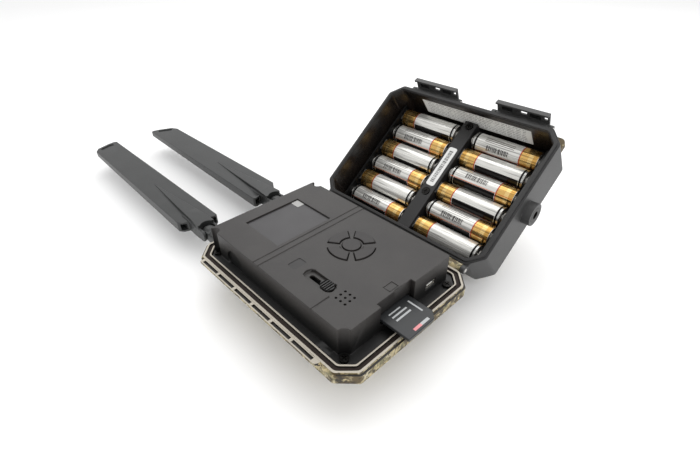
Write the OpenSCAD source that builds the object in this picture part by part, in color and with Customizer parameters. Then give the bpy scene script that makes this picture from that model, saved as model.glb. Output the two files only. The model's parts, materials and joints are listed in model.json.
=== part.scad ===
// Open trail camera: front half face down, battery tray swung up on its hinge.
// All lengths are in millimetres. +Z is up, and Z = 0 is the table under the lens hood.
// The origin is on the optical axis, at the front plane of the lens hood.
// X runs along the case, from the antenna end to the card end. Y runs across the hinge.

/* [Case] */
// Length of both case halves at the seam
case_l = 138; // [128:1:166]
// Width of both case halves at the seam
case_w = 102; // [98:1:124]
// Cut across each corner of the case outline
corner_cut = 9; // [6:0.5:12]
// Rounding of the corners left by that cut
corner_r = 3; // [1:0.5:4]
// Wall thickness of the case halves
wall = 2.4; // [2:0.1:3]
// Depth of the front half below the seam, down to its face
front_d = 26; // [22:1:32]
// Height of the upright skirt under the front rim
skirt_h = 7; // [6:0.5:9]
// How far the skirt stands out past the rim
skirt_out = 1.2; // [0.8:0.1:2]
// How far the bevels draw the front face in from the skirt
face_inset = 17; // [14:1:19]
// Depth of the battery tray behind the seam
tray_d = 34; // [32:0.5:41]
// Bevel round the back edge of the battery tray
tray_bevel = 4.5; // [3:0.5:5]

/* [Hinge] */
// Angle of the battery tray above level while it is open
open_tilt = 38; // [34:1:42]
// Distance from the hinge axis to each half's rim
hinge_gap = 3; // [3:0.1:4]
// Radius of the hinge knuckles
knuckle_r = 2.6; // [2.4:0.1:2.8]
// Radius of the hinge pins
pin_r = 1.3; // [1:0.1:1.5]
// Length of the front half's knuckle on each hinge
knuckle_l = 12; // [8:1:16]
// Distance from the middle of the case to each hinge
hinge_x = 53; // [48:1:54]

/* [Seal] */
// Thickness of the rim's outer wall
rim_outer = 1.2; // [1:0.1:1.8]
// Width of the groove for the seal
groove_w = 2.6; // [2:0.1:3]
// Thickness of the rim's inner wall
rim_inner = 1; // [0.8:0.1:1.4]
// Depth of the groove for the seal
groove_d = 3; // [2.5:0.1:3.5]
// Height of the tongue on the tray's rim
tongue_h = 1.4; // [1:0.1:1.6]

/* [Panel block] */
// Height of the panel block above the seam
block_h = 15.6; // [14:0.2:16]
// Wall thickness of the panel block
block_wall = 2; // [1.6:0.1:2.4]
// Gap from the antenna end of the rim to the block
block_top_gap = 7; // [6:0.5:9]
// Gap from the card end of the rim to the block
block_card_gap = 11.5; // [10:0.5:14]
// Gap from the latch side of the rim to the block
block_latch_gap = 9.5; // [8:0.5:11]
// Gap from the hinge side of the rim to the block
block_hinge_gap = 9; // [8:0.5:10]

/* [Display and controls] */
// Size of the display recess along the case
display_l = 33; // [28:1:34]
// Size of the display recess across the case
display_w = 41; // [36:1:44]
// Radius of the ring of four arrow keys
keypad_r = 14; // [12:0.5:15]
// Radius of the centre key
ok_key_r = 5.4; // [4.5:0.1:6]
// Travel of every key
key_travel = 0.7; // [0.4:0.1:0.7]
// Gap round each key in its opening
key_gap = 0.35; // [0.3:0.05:0.5]
// Travel of the mode switch from end to end
switch_travel = 12; // [10:1:13]
// Length of the mode switch knob
knob_l = 8.6; // [8:0.2:11]
// Width of the mode switch knob
knob_w = 6.4; // [6:0.2:7.8]

/* [Memory card] */
// Length of the memory card
card_l = 32; // [32:0.1:32.1]
// Width of the memory card
card_w = 24; // [24:0.1:24.1]
// Thickness of the memory card
card_t = 2.1; // [2.1:0.05:2.2]
// How far the card stands out of its socket
card_out = 18; // [8:1:18]

/* [Batteries] */
// Radius of one AA cell
cell_r = 7.1; // [6.9:0.05:7.2]
// Length of one AA cell with its positive nub
cell_l = 50.5; // [50:0.1:50.5]
// Distance from one cell to the next
cell_pitch = 15; // [14.8:0.1:15.2]
// Number of cells in each column
cell_rows = 6; // [4:1:6]
// Width of the divider bar between the two columns
bar_w = 10.6; // [8:0.2:12]

/* [Antennas] */
// Reach of one antenna blade from its pivot, along its long edge
blade_l = 204; // [150:1:230]
// Width of the blade at its wide end
blade_w = 26.5; // [24:0.5:30]
// Width of the blade at its tip
tip_w = 23; // [18:0.5:25]
// How far the long edge runs past the short one at each end
blade_skew = 9.5; // [0:0.5:11]
// Thickness of the blade at its wide end
blade_t = 8; // [7:0.5:9]
// Reach of the spine along the blade from the pivot
spine_l = 88; // [50:1:110]
// Radius of the antenna elbow
elbow_r = 5.2; // [4.6:0.1:5.6]
// Distance between the two antennas
antenna_spacing = 58.8; // [50:0.5:64]

/* [Lens and sensors] */
// Outer radius of the lens hood
hood_r = 15; // [13:0.5:17]
// Inner radius of the lens hood
hood_bore_r = 11; // [9.5:0.5:12]
// How far the lens hood stands out of the face
hood_h = 4; // [3:0.5:6]
// Radius of the motion sensor dome
dome_r = 10; // [8:0.5:11]

/* [Latches and mounts] */
// Length of each latch along the case
latch_l = 37; // [30:1:40]
// Angle between a resting latch and its closed place
latch_rest = 14; // [13:1:20]
// Width of the catch flange on the front half
flange_w = 3.2; // [2.8:0.1:3.6]
// Radius of the tapped hole in the tripod insert
tripod_r = 2.6; // [2.5:0.05:3.2]
// Depth of the tapped hole in the tripod insert
tripod_l = 7; // [5:0.5:8]
// Height of the tree bracket behind the tray
bracket_h = 14; // [14:0.5:18]
// Width of the strap slots in the tree bracket
strap_w = 27; // [20:1:30]
// Radius of the padlock hole in the bracket's ear
lock_r = 3.2; // [2.5:0.1:3.6]

/* [Hidden] */
$fn = 48;
CELLS = [for (i = [1:2 * cell_rows]) str("cell_", i)];
KEYS = ["key_up", "key_down", "key_left", "key_right"];

eps = 0.01;
seam = 0.2;                        // gap between the closed rims
fit = 0.25;                        // gap round a part that is set into another
run = 0.05;                        // running clearance of a pin in its bore

rim_t = rim_outer + groove_w + rim_inner;
side_y = hinge_gap + case_w;       // far long side of either half, from the hinge axis
mid_y = hinge_gap + case_w / 2;
corner_d = (case_l / 2 + case_w / 2 - corner_cut) / sqrt(2);   // middle of the case to a cut corner
corner_bevel = 1.25;
heel_y = hinge_gap + 7.2;          // edge of the tree bracket nearest the hinge
heel_drop = (tray_d + bracket_h) * cos(open_tilt) - heel_y * sin(open_tilt);
seam_z = max(front_d + hood_h, heel_drop);   // height of the hinge axis above the table
hood_l = seam_z - front_d;         // the hood reaches the table whatever carries the tray

// Panel block, measured from the hinge axis
block_x0 = -case_l / 2 + block_top_gap;
block_x1 = case_l / 2 - block_card_gap;
block_y0 = -side_y + block_latch_gap;
block_y1 = -hinge_gap - block_hinge_gap;
block_in_z = block_h - block_wall;           // underside of the block's top
base_top = -1.6;                             // floor round the block
base_t = 1.6;
scoop_r = 4.2;

display_x = block_x0 + 10.5;
display_y1 = block_y1 - 23.2;
display_d = 1.6;
key_x = case_l / 2 - 57.5;
key_y = -mid_y + 8.6;
key_ring_in = ok_key_r + 1.9;
key_flange = 0.8;
key_top = block_h + 0.7;
key_foot = block_in_z - 1.9;
switch_x = case_l / 2 - 41.5;                // rest place of the knob's middle
switch_y = block_y0 + 16.8;
switch_d = 1.6;
speaker_x = case_l / 2 - 28.6;
speaker_y = block_y0 + 17.3;
hole_pitch = 3.3;                            // spacing of the holes over the speaker
light_x = switch_x - switch_travel - 13;

board_z = 1;
board_t = 1.6;
board_top = board_z + board_t;
card_z = board_top + 0.6;
card_y = -mid_y - 2.75;
card_x1 = block_x1 - 0.5 + card_out;
notch_y = card_w + 2.4;
port_y = -mid_y + 25.5;
port_w = 8;
port_h = 3.6;

// Battery tray, measured in its own frame
tray_in_y0 = hinge_gap + wall;
tray_in_y1 = side_y - wall;
floor_z = -tray_d + 2.2;
cell_z = floor_z + cell_r + 0.05;
cell_y0 = mid_y - (cell_rows - 1) / 2 * cell_pitch + 1;
bar_x = -1.5;
contact_gap = 2.9;
left_x = bar_x - bar_w / 2 - contact_gap - cell_l;     // left end of the left column
right_x = bar_x + bar_w / 2 + contact_gap;             // left end of the right column
board_in = 1.5;                              // thickness of a contact board
bar_top = cell_z + cell_r + 0.3;
boss_y = mid_y;
boss_z = -15;
boss_r = 7.5;
boss_x1 = case_l / 2 + 5.5;
insert_r = 5;

// Antennas
antenna_z = -12;
boss_out = 3;
antenna_shift = 1.5;                         // off the middle of the case, toward the hinge
pivot_x = -case_l / 2 - 27;
elbow_eye = 8.4;                             // width of the elbow's eye between its flats
fold_pin_r = 1.4;
socket_x = -case_l / 2 - boss_out;

// Latches, in the tray's frame
latch_y = side_y + 2.3;
latch_z = -5.2;
latch_pin_r = 1.1;
latch_x = [-case_l / 2 + 36, case_l / 2 - 33];
latch_knuckle_r = 1.9;
flange_t = 2;
flange_top = -0.6;

// Lens, window and dome places on the front face
lens_y = -mid_y;
window_x = -36;
window_l = 22;
window_w = 56;
dome_x = 34;

module front_frame() translate([0, mid_y, seam_z]) children();

module tray_frame() translate([0, mid_y, seam_z]) rotate([open_tilt, 0, 0]) children();

// Octagon with rounded corners, drawn in from the case outline by an inset
module outline(inset = 0) {
    x = case_l / 2 - inset - corner_r;
    y = case_w / 2 - inset - corner_r;
    c = corner_cut - (inset + corner_r) * 0.586;
    offset(r = corner_r, $fn = 24)
        polygon([[x - c, -y], [x, -y + c], [x, y - c], [x - c, y],
                 [-x + c, y], [-x, y - c], [-x, -y + c], [-x + c, -y]]);
}

// Prism of that outline between two heights, for the front half (side = -1) or the tray
module slab(z0, z1, inset, side) {
    translate([0, side * mid_y, z0]) linear_extrude(z1 - z0) outline(inset);
}

// Bevelled body that widens upward from one inset to another, its corners bevelled more
module taper(z0, inset0, z1, inset1, side) {
    intersection() {
        slab(z0, z1, inset1, side);
        translate([0, side * mid_y, 0]) intersection() {
            wedge(case_l / 2, 0, z0, inset0, z1, inset1);
            wedge(case_w / 2, 90, z0, inset0, z1, inset1);
            wedge(corner_d, 45, z0, inset0 * corner_bevel, z1, inset1);
            wedge(corner_d, -45, z0, inset0 * corner_bevel, z1, inset1);
        }
    }
}

// Long prism with two slanted sides, turned about Z
module wedge(half, turn, z0, inset0, z1, inset1) {
    rotate([90, 0, turn]) linear_extrude(3 * case_l, center = true)
        polygon([[inset0 - half, z0], [half - inset0, z0], [half - inset1, z1], [inset1 - half, z1]]);
}

module rod_x(x0, x1, y, z, r, fn = 48) {
    translate([x0, y, z]) rotate([0, 90, 0]) cylinder(h = x1 - x0, r = r, $fn = fn);
}

module box(x0, x1, y0, y1, z0, z1) {
    translate([x0, y0, z0]) cube([x1 - x0, y1 - y0, z1 - z0]);
}

module rounded_box(x0, x1, y0, y1, z0, z1, r) {
    translate([(x0 + x1) / 2, (y0 + y1) / 2, z0]) linear_extrude(z1 - z0)
        rounded_rect(x1 - x0, y1 - y0, r);
}

module rounded_rect(l, w, r) {
    square([l - 2 * r, w], center = true);
    square([l, w - 2 * r], center = true);
    for (sx = [-1, 1]) for (sy = [-1, 1])
        translate([sx * (l / 2 - r), sy * (w / 2 - r)]) circle(r = r, $fn = 32);
}

// Prism of an arc of a ring, centred on an angle, with its foot at z0
module arc_block(r0, r1, span, angle, z0, h) {
    translate([0, 0, z0]) rotate([0, 0, angle - span / 2])
        rotate_extrude(angle = span) translate([r0, 0]) square([r1 - r0, h]);
}

screw_points = [[block_x1, block_y0], [block_x0 + 4.5, block_y1],
                [block_x1 + 3.5, block_y1 - 5], [block_x0 + 4.5, block_y0]];
scoops = [[block_x1, block_y0, scoop_r], [block_x0 + 4.5, block_y1, 3.2],
          [block_x0 + 4.5, block_y0, 3.2]];
screw_head_r = 2.6;
screw_r = 1.2;
screw_foot = -9;
antenna_y = [for (s = [-1, 1]) antenna_shift - mid_y + s * antenna_spacing / 2];
flange_x0 = -case_l / 2 + 11.5;
flange_x1 = case_l / 2 - 18;
ladder_pitch = (flange_x1 - flange_x0 - 4) / 6;
hinge_centres = [-hinge_x, hinge_x];
inner_knuckle = 6;
outer_knuckle = 3;
led_board_z = -18.8;
socket_r = 3.2;

module shell_outside() {
    slab(-skirt_h, -seam, 0, -1);
    intersection() {
        slab(-skirt_h, -1.5, -skirt_out, -1);
        box(-case_l, case_l, -2 * side_y, -hinge_gap, -skirt_h, 0);
    }
    taper(-front_d, face_inset, -skirt_h + eps, 0, -1);
    for (y = antenna_y) rod_x(socket_x, -case_l / 2 + 12, y, antenna_z, 7);
    // Catch flange for the latches, rounded at its card end
    box(flange_x0, flange_x1 - flange_w, -side_y - flange_w, -side_y + 1,
        flange_top - flange_t, flange_top);
    translate([flange_x1 - flange_w, -side_y, flange_top - flange_t])
        cylinder(h = flange_t, r = flange_w);
    // Hinge knuckles and the webs that carry them
    for (x = hinge_centres) {
        rod_x(x - knuckle_l / 2, x + knuckle_l / 2, 0, 0, knuckle_r);
        box(x - knuckle_l / 2, x + knuckle_l / 2, -hinge_gap - 1, -0.4, -2.4, -0.4);
    }
}

module shell_inside() {
    slab(-skirt_h, eps, rim_t, -1);
    taper(-front_d + wall, face_inset + wall / 2, -skirt_h + eps, rim_t, -1);
}

module front_shell() color("tan") front_frame() difference() {
    union() {
        difference() {
            shell_outside();
            shell_inside();
        }
        for (y = antenna_y) rod_x(-case_l / 2 + 6, -case_l / 2 + 12, y, antenna_z, 6);
        for (p = screw_points) translate([p[0], p[1], -11])
            cylinder(h = 11 + base_top - base_t, r = 3);
        for (sx = [-1, 1]) for (sy = [-1, 1])
            translate([window_x + sx * 8.5, lens_y + sy * (window_w / 2 - 3), -front_d + wall - eps])
                cylinder(h = led_board_z + front_d - wall + eps, r = 1.2);
    }
    difference() {
        slab(-groove_d, eps, rim_outer, -1);
        slab(-groove_d - eps, 2 * eps, rim_outer + groove_w, -1);
    }
    // Ladder of shallow cells in the catch flange
    for (i = [0:5])
        box(flange_x0 + 2 + i * ladder_pitch, flange_x0 + (i + 1) * ladder_pitch,
            -side_y - flange_w + 0.8, -side_y - 0.6, flange_top - 1.4, flange_top + 1);
    for (x = hinge_centres) rod_x(x - knuckle_l, x + knuckle_l, 0, 0, pin_r);
    for (y = antenna_y) rod_x(socket_x - 1, -case_l / 2 + 13, y, antenna_z, socket_r);
    for (p = screw_points) translate([p[0], p[1], screw_foot]) cylinder(h = 10, r = screw_r);
    translate([0, lens_y, -front_d - 1]) cylinder(h = wall + 2, r = hood_bore_r + 2);
    translate([dome_x, lens_y, -front_d - 1]) cylinder(h = wall + 2, r = dome_r + 0.1);
    rounded_box(window_x - window_l / 2, window_x + window_l / 2, lens_y - window_w / 2,
                lens_y + window_w / 2, -front_d - 1, -front_d + 1.6, 3);
    rounded_box(window_x - window_l / 2 + 4, window_x + window_l / 2 - 4,
                lens_y - window_w / 2 + 4, lens_y + window_w / 2 - 4,
                -front_d - 1, -front_d + wall + 0.1, 2);
}

module rim_gasket() color("dimgray") front_frame() difference() {
    slab(-groove_d, -groove_d + 1.3, rim_outer, -1);
    slab(-groove_d - 1, 0, rim_outer + groove_w, -1);
}

// Columns that wall off each corner scoop inside the block
module scoop_columns() {
    for (s = scoops) translate([s[0], s[1], -5]) cylinder(h = 40, r = s[2] + 1.6);
}

module block_inside() {
    difference() {
        rounded_box(block_x0 + block_wall, block_x1 - block_wall, block_y0 + block_wall,
                    block_y1 - block_wall, -5, block_in_z, 1);
        scoop_columns();
        // Bay that holds the card's mouth
        box(block_x1 - 5, block_x1, card_y - notch_y / 2 - 1.6, card_y + notch_y / 2 + 1.6,
            -5, block_h);
        // Pad under the mode switch recess
        box(switch_x - switch_travel - 8, switch_x + 8, switch_y - 6.5, switch_y + 6.5,
            block_h - switch_d - 1.6, block_h);
    }
}

module key_openings() {
    translate([key_x, key_y, 0]) {
        translate([0, 0, block_in_z - 1]) cylinder(h = 4, r = ok_key_r + key_gap);
        for (a = [0, 90, 180, 270])
            arc_block(key_ring_in - key_gap, keypad_r + key_gap, 72, a, block_in_z - 1, 4);
    }
}

module switch_slot(r, l, z0, h) {
    translate([0, switch_y, z0]) {
        for (x = [switch_x - switch_travel - l, switch_x + l]) translate([x, 0, 0]) cylinder(h = h, r = r);
        translate([switch_x - switch_travel - l, -r, 0]) cube([switch_travel + 2 * l, 2 * r, h]);
    }
}

board_posts = [[block_x0 + 12, block_y0 + 8], [block_x1 - 10.5, block_y0 + 8],
               [block_x0 + 12, block_y1 - 8], [block_x1 - 10.5, block_y1 - 8]];

module panel_housing() color([0.16, 0.15, 0.15]) front_frame() difference() {
    union() {
        difference() {
            union() {
                slab(base_top - base_t, base_top, rim_t + fit, -1);
                rounded_box(block_x0, block_x1, block_y0, block_y1, base_top - base_t, block_h, 1.5);
            }
            block_inside();
        }
        for (p = board_posts) translate([p[0], p[1], board_top])
            cylinder(h = block_h - 1 - board_top, r = 2.2);
        for (sx = [-1, 1]) for (sy = [-1, 1])
            translate([key_x + sx * 13.5, key_y + sy * 13.5, key_board_top])
                cylinder(h = block_h - 1 - key_board_top, r = 1.6);
        // Collar that holds the speaker
        translate([speaker_x, speaker_y, speaker_top - 1.5]) difference() {
            cylinder(h = block_h - 1 - speaker_top + 1.5, r = speaker_r + 0.8);
            translate([0, 0, -1]) cylinder(h = block_in_z - speaker_top + 2.5, r = speaker_r + run);
        }
    }
    for (s = scoops) translate([s[0], s[1], base_top]) cylinder(h = 40, r = s[2]);
    for (p = screw_points) translate([p[0], p[1], -5]) cylinder(h = 5, r = screw_r + 0.3);
    // Display recess and the opening through it
    box(display_x, display_x + display_l, display_y1 - display_w, display_y1,
        block_h - display_d, block_h + 1);
    box(display_x + 2, display_x + display_l - 2, display_y1 - display_w + 2, display_y1 - 2,
        block_in_z - 1, block_h + 1);
    key_openings();
    switch_slot(knob_w / 2 + 0.5, knob_l / 2 - knob_w / 2 + 0.2, block_h - switch_d, 5);
    switch_slot(1.3, 0.3, block_in_z - 3, 5);
    // Seat of the status light
    rounded_box(light_x - 3.2, light_x + 3.2, switch_y - 4.5, switch_y + 4.5,
                block_h - 1.4, block_h + 1, 1.5);
    // Speaker grille
    for (i = [-1:1]) for (j = [-1:1])
        translate([speaker_x + i * hole_pitch, speaker_y + j * hole_pitch, block_in_z - 1]) cylinder(h = 4, r = 0.75);
    // Card notch and mouth
    box(block_x1 - 3, block_x1 + 1, card_y - notch_y / 2, card_y + notch_y / 2,
        card_z - 1, block_h + 1);
    box(block_x1 - 6, block_x1, card_y - card_w / 2 - 0.5, card_y + card_w / 2 + 0.5,
        card_z - 0.4, card_z + card_t + 0.4);
    // Port opening
    box(block_x1 - block_wall - 1, block_x1 + 1, port_y - port_w / 2 - 0.4, port_y + port_w / 2 + 0.4,
        board_top - 0.4, board_top + port_h + 0.4);
    // Two shallow grooves between the display and the keys, and a short one by the card
    for (x = [display_x + display_l + 3, display_x + display_l + 7.4])
        box(x - 0.4, x + 0.4, block_y0 - 1, block_y1 + 1, block_h - 0.4, block_h + 1);
    box(speaker_x - 6.5, speaker_x - 5.7, block_y0 - 1, block_y0 + 12, block_h - 0.4, block_h + 1);
    // Finger recess in the latch side of the block
    intersection() {
        translate([display_x + 13.5, block_y0 + 1.3, 2.2]) rotate([90, 0, 0]) cylinder(h = 3, r = 7.3);
        box(block_x0, block_x1, block_y0 - 2, block_y1, base_top, block_h);
    }
    // Outline of a card beside its mouth
    difference() {
        box(block_x1 - 9, block_x1 - 4, card_y - 2.5, card_y + 4.5, block_h - 0.3, block_h + 1);
        box(block_x1 - 8.4, block_x1 - 4.6, card_y - 1.9, card_y + 3.9, 0, block_h + 2);
    }
}

module display_window() color([0.1, 0.1, 0.13]) front_frame()
    box(display_x + 0.1, display_x + display_l - 0.1, display_y1 - display_w + 0.1, display_y1 - 0.1,
        block_h - display_d, block_h - display_d + 0.5);

module display_module() color([0.25, 0.27, 0.3]) front_frame()
    box(display_x - 1.5, display_x + display_l + 1.5, display_y1 - display_w - 2,
        display_y1 + 2, block_in_z - 3.2, block_in_z);

module main_board() color("darkgreen") front_frame()
    box(block_x0 + 8, block_x1 - 6, block_y0 + 4, block_y1 - 4, board_z, board_top);

key_board_top = key_foot - key_travel - 1.6;

module key_board() color("darkgreen") front_frame()
    box(key_x - 16.5, key_x + 16.5, key_y - 16.5, key_y + 16.5, key_board_top - 1.2, key_board_top);

key_ring_mid = (key_ring_in + keypad_r) / 2;
key_spots = [[0, 0], [-key_ring_mid, 0], [key_ring_mid, 0], [0, -key_ring_mid], [0, key_ring_mid]];

module key_switches() color("silver") front_frame()
    for (p = key_spots) translate([key_x + p[0], key_y + p[1], key_board_top]) {
        translate([-2.2, -2.2, 0]) cube([4.4, 4.4, 0.9]);
        cylinder(h = 1.5, r = 1.4);
    }

module key_ok() color([0.2, 0.2, 0.2]) front_frame() translate([key_x, key_y, 0]) {
    translate([0, 0, block_in_z - 0.1]) cylinder(h = key_top - block_in_z + 0.1, r = ok_key_r);
    translate([0, 0, block_in_z - 1.2]) cylinder(h = 1.1, r = ok_key_r + key_flange);
    translate([0, 0, key_foot]) cylinder(h = block_in_z - 1.2 - key_foot, r = 1.6);
}

module arrow_key(angle) color([0.2, 0.2, 0.2]) front_frame() translate([key_x, key_y, 0]) {
    arc_block(key_ring_in, keypad_r, 72 - 4, angle, block_in_z - 0.1, key_top - block_in_z + 0.1);
    arc_block(key_ring_in - 0.7, keypad_r + key_flange, 78, angle, block_in_z - 1.2, 1.1);
    rotate([0, 0, angle]) translate([key_ring_mid, 0, key_foot])
        cylinder(h = block_in_z - 1.2 - key_foot, r = 1.6);
}

switch_under = block_h - switch_d - 1.6;

module mode_switch_body() color("dimgray") front_frame() difference() {
    box(switch_x - switch_travel - 4, switch_x + 4, switch_y - 3.5, switch_y + 3.5,
        switch_under - 5, switch_under);
    box(switch_x - switch_travel - 1.9, switch_x + 1.9, switch_y - 1.4, switch_y + 1.4,
        switch_under - 2.6, switch_under + 1);
}

module switch_knob() color([0.14, 0.14, 0.14]) front_frame() difference() {
    union() {
        for (sx = [-1, 1]) translate([switch_x + sx * (knob_l - knob_w) / 2, switch_y, block_h - switch_d + 0.1])
            cylinder(h = switch_d + 0.6, r = knob_w / 2);
        box(switch_x - (knob_l - knob_w) / 2, switch_x + (knob_l - knob_w) / 2,
            switch_y - knob_w / 2, switch_y + knob_w / 2,
            block_h - switch_d + 0.1, block_h + 0.7);
        box(switch_x - 1.2, switch_x + 1.2, switch_y - 1, switch_y + 1,
            switch_under - 2.4, block_h);
    }
    // Grip grooves
    for (i = [-2:2]) box(switch_x + i * 1.5 - 0.3, switch_x + i * 1.5 + 0.3, switch_y - knob_w,
                         switch_y + knob_w, block_h, block_h + 1);
}

module status_window() color("lightgray") front_frame()
    rounded_box(light_x - 3.1, light_x + 3.1, switch_y - 4.4, switch_y + 4.4,
                block_h - 1.4, block_h - 0.3, 1.4);

speaker_r = 8;
speaker_top = switch_under - 0.1;

module speaker() color([0.2, 0.2, 0.22]) front_frame() translate([speaker_x, speaker_y, 0]) {
    translate([0, 0, speaker_top - 1.5]) difference() {
        cylinder(h = 1.5, r = speaker_r);
        translate([0, 0, 0.7]) cylinder(h = 1, r = speaker_r - 0.8);
    }
    translate([0, 0, speaker_top - 4.5]) cylinder(h = 3, r = 5);
}

socket_x1 = card_x1 - card_out - 6;
socket_x0 = card_x1 - card_l - 16;

module sd_socket() color("silver") front_frame() difference() {
    box(socket_x0, socket_x1, card_y - card_w / 2 - 1.2, card_y + card_w / 2 + 1.2,
        board_top, card_z + card_t + 0.9);
    box(socket_x0 + 0.8, socket_x1 + 1, card_y - card_w / 2 - 0.25, card_y + card_w / 2 + 0.25,
        card_z - 0.2, card_z + card_t + 0.3);
}

module usb_port() color("silver") front_frame() difference() {
    box(block_x1 - 9, block_x1 - 0.4, port_y - port_w / 2, port_y + port_w / 2,
        board_top, board_top + port_h);
    box(block_x1 - 8, block_x1, port_y - port_w / 2 + 0.5, port_y + port_w / 2 - 0.5,
        board_top + 0.5, board_top + port_h - 0.5);
}

module pan_screw(h, r, head_r, head_h) {
    translate([0, 0, -h]) cylinder(h = h, r = r);
    difference() {
        cylinder(h = head_h, r = head_r);
        for (a = [0, 90]) rotate([0, 0, a]) translate([-head_r * 0.6, -0.35, head_h - 0.7])
            cube([head_r * 1.2, 0.7, 1]);
    }
}

module housing_screws() color("silver") front_frame()
    for (p = screw_points) translate([p[0], p[1], base_top])
        pan_screw(base_top - screw_foot, screw_r, screw_head_r, 1.3);

module hinge_pins() color("silver") front_frame()
    for (s = [-1, 1]) scale([s, 1, 1])
        rod_x(hinge_x - knuckle_l / 2 - seam - inner_knuckle, hinge_x + knuckle_l / 2 + seam + outer_knuckle,
              0, 0, pin_r);

module at_lens(x) front_frame() translate([x, lens_y, -front_d]) children();

barrel_r = 9.4;

module lens_hood() color([0.12, 0.12, 0.12]) at_lens(0) difference() {
    union() {
        translate([0, 0, -hood_l]) cylinder(h = hood_l, r = hood_r);
        cylinder(h = wall + 1.5, r = hood_bore_r + 2);
    }
    translate([0, 0, -hood_l - 1]) cylinder(h = hood_l + 1, r = hood_bore_r);
    translate([0, 0, -1]) cylinder(h = wall + 5, r = barrel_r);
}

module lens_barrel() color([0.1, 0.1, 0.1]) at_lens(0) difference() {
    union() {
        translate([0, 0, 0.2]) cylinder(h = 15.3, r = barrel_r);
        translate([0, 0, wall + 1.5]) cylinder(h = 2, r = barrel_r + 2);
    }
    translate([0, 0, -1]) cylinder(h = 20, r = 7.5);
}

module lens_glass() color([0.2, 0.25, 0.4, 0.6]) at_lens(0) intersection() {
    translate([0, 0, 1]) cylinder(h = 4, r = 7.5);
    translate([0, 0, 15.5]) sphere(r = 14);
}

module image_sensor() color("darkgreen") at_lens(0) {
    translate([-12, -12, 15.5]) cube([24, 24, 1.2]);
    translate([-4, -4, 14.3]) cube([8, 8, 1.2]);
}

module ir_window() color([0.15, 0.03, 0.05]) front_frame()
    rounded_box(window_x - window_l / 2, window_x + window_l / 2, lens_y - window_w / 2,
                lens_y + window_w / 2, -front_d, -front_d + 1.6, 3);

module ir_led_board() color("darkgreen") front_frame()
    box(window_x - 10, window_x + 10, lens_y - window_w / 2 + 1, lens_y + window_w / 2 - 1,
        led_board_z, led_board_z + 1.4);

led_r = 2.3;

module ir_leds() color("gainsboro") front_frame()
    for (i = [-1:1]) for (j = [-3:3])
        translate([window_x + i * 5, lens_y + j * 6, led_board_z]) {
            translate([0, 0, -led_r]) cylinder(h = led_r, r = led_r);
            translate([0, 0, -led_r]) sphere(r = led_r - eps);
        }

module pir_lens() color("whitesmoke") at_lens(dome_x) rotate_extrude() difference() {
    union() {
        intersection() {
            translate([0, 12]) circle(r = 15.5, $fn = 96);
            translate([0, -4]) square([dome_r, 4 + wall]);
        }
        translate([0, wall]) square([dome_r + 1.5, 0.8]);
    }
    intersection() {
        translate([0, 12]) circle(r = 14.7, $fn = 96);
        translate([-1, -4]) square([dome_r + 0.2, 8]);
    }
    translate([-20, -20]) square([20, 40]);
}

module pir_sensor() color("silver") at_lens(dome_x) {
    translate([0, 0, 8]) cylinder(h = 4, r = 4.6);
    translate([-8, -8, 12]) cube([16, 16, 1.2]);
}

module antenna_sockets() color("goldenrod") front_frame() for (y = antenna_y) difference() {
    rod_x(socket_x - socket_out, -case_l / 2 + 12, y, antenna_z, socket_r);
    rod_x(socket_x - socket_out - 1, socket_x - 1, y, antenna_z, 1.4);
}

socket_out = 6;

module sd_card() color([0.25, 0.26, 0.28]) front_frame() translate([card_x1, card_y, card_z])
    linear_extrude(card_t) polygon([[0, -card_w / 2], [0, card_w / 2 - 4], [-4, card_w / 2],
                                    [-card_l, card_w / 2], [-card_l, -card_w / 2]]);

// Battery tray and what it carries

plate_t = 0.4;
left_face = left_x - plate_t;                // inner face of the left contact board
bar_x0 = bar_x - bar_w / 2;
bar_x1 = bar_x + bar_w / 2;
right_face = right_x + cell_l + plate_t;     // inner face of the right contact board
board_foot = floor_z + tray_bevel - 1.1;
board_head = cell_z + cell_r + 0.5;
board_y0 = cell_y0 - 8.2;
// Far end of the contact boards: the last cell's, or where the tray's cut corner leaves room
corner_room = mid_y + case_l / 2 + case_w / 2 - corner_cut - wall * sqrt(2);
board_y1 = min(cell_y0 + (cell_rows - 1) * cell_pitch + 6.5, corner_room - board_in - 0.1 + left_face);
bar_screw_y = [cell_y0 + 1.5 * cell_pitch, side_y - 6.8];
bracket_x = 50;
bracket_y1 = side_y - 7;
bracket_t = 2.6;
slot_h = 7.4;                                // height of the strap slots
bracket_screws_at = [for (x = [-40, 40]) for (k = [0.5, cell_rows - 1.5]) [x, cell_y0 + k * cell_pitch]];
boss_x0 = boss_x1 - tripod_l - 5;
ear_t = 5;
ear_w = 12;
ear_y = side_y + 8;
lug_w = 3;
rim_flange = 5;

function row_y(k) = cell_y0 + (cell_rows - k) * cell_pitch;

module tray_inside() {
    slab(-rim_flange - eps, 1, rim_outer + groove_w, 1);
    slab(floor_z + tray_bevel - 1.2, -rim_flange, wall, 1);
    taper(floor_z, wall + tray_bevel - 1.2, floor_z + tray_bevel - 1.2 + eps, wall, 1);
}

module tray_outside() {
    slab(-tray_d + tray_bevel, 0, 0, 1);
    taper(-tray_d, tray_bevel, -tray_d + tray_bevel + eps, 0, 1);
    rod_x(case_l / 2 - 5, boss_x1, boss_y, boss_z, boss_r);
    for (s = [-1, 1]) scale([s, 1, 1]) {
        hinge_ear(hinge_x - knuckle_l / 2 - seam - inner_knuckle, inner_knuckle);
        hinge_ear(hinge_x + knuckle_l / 2 + seam, outer_knuckle);
    }
    // Lugs that hold the latch pins
    for (c = latch_x) for (s = [-1, 1]) translate([c + s * (latch_l / 2 + 0.3 + lug_w / 2), 0, 0]) {
        rod_x(-lug_w / 2, lug_w / 2, latch_y, latch_z, 2.2);
        box(-lug_w / 2, lug_w / 2, side_y - 1, latch_y, latch_z - 2.2, latch_z + 2.2);
    }
}

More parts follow.
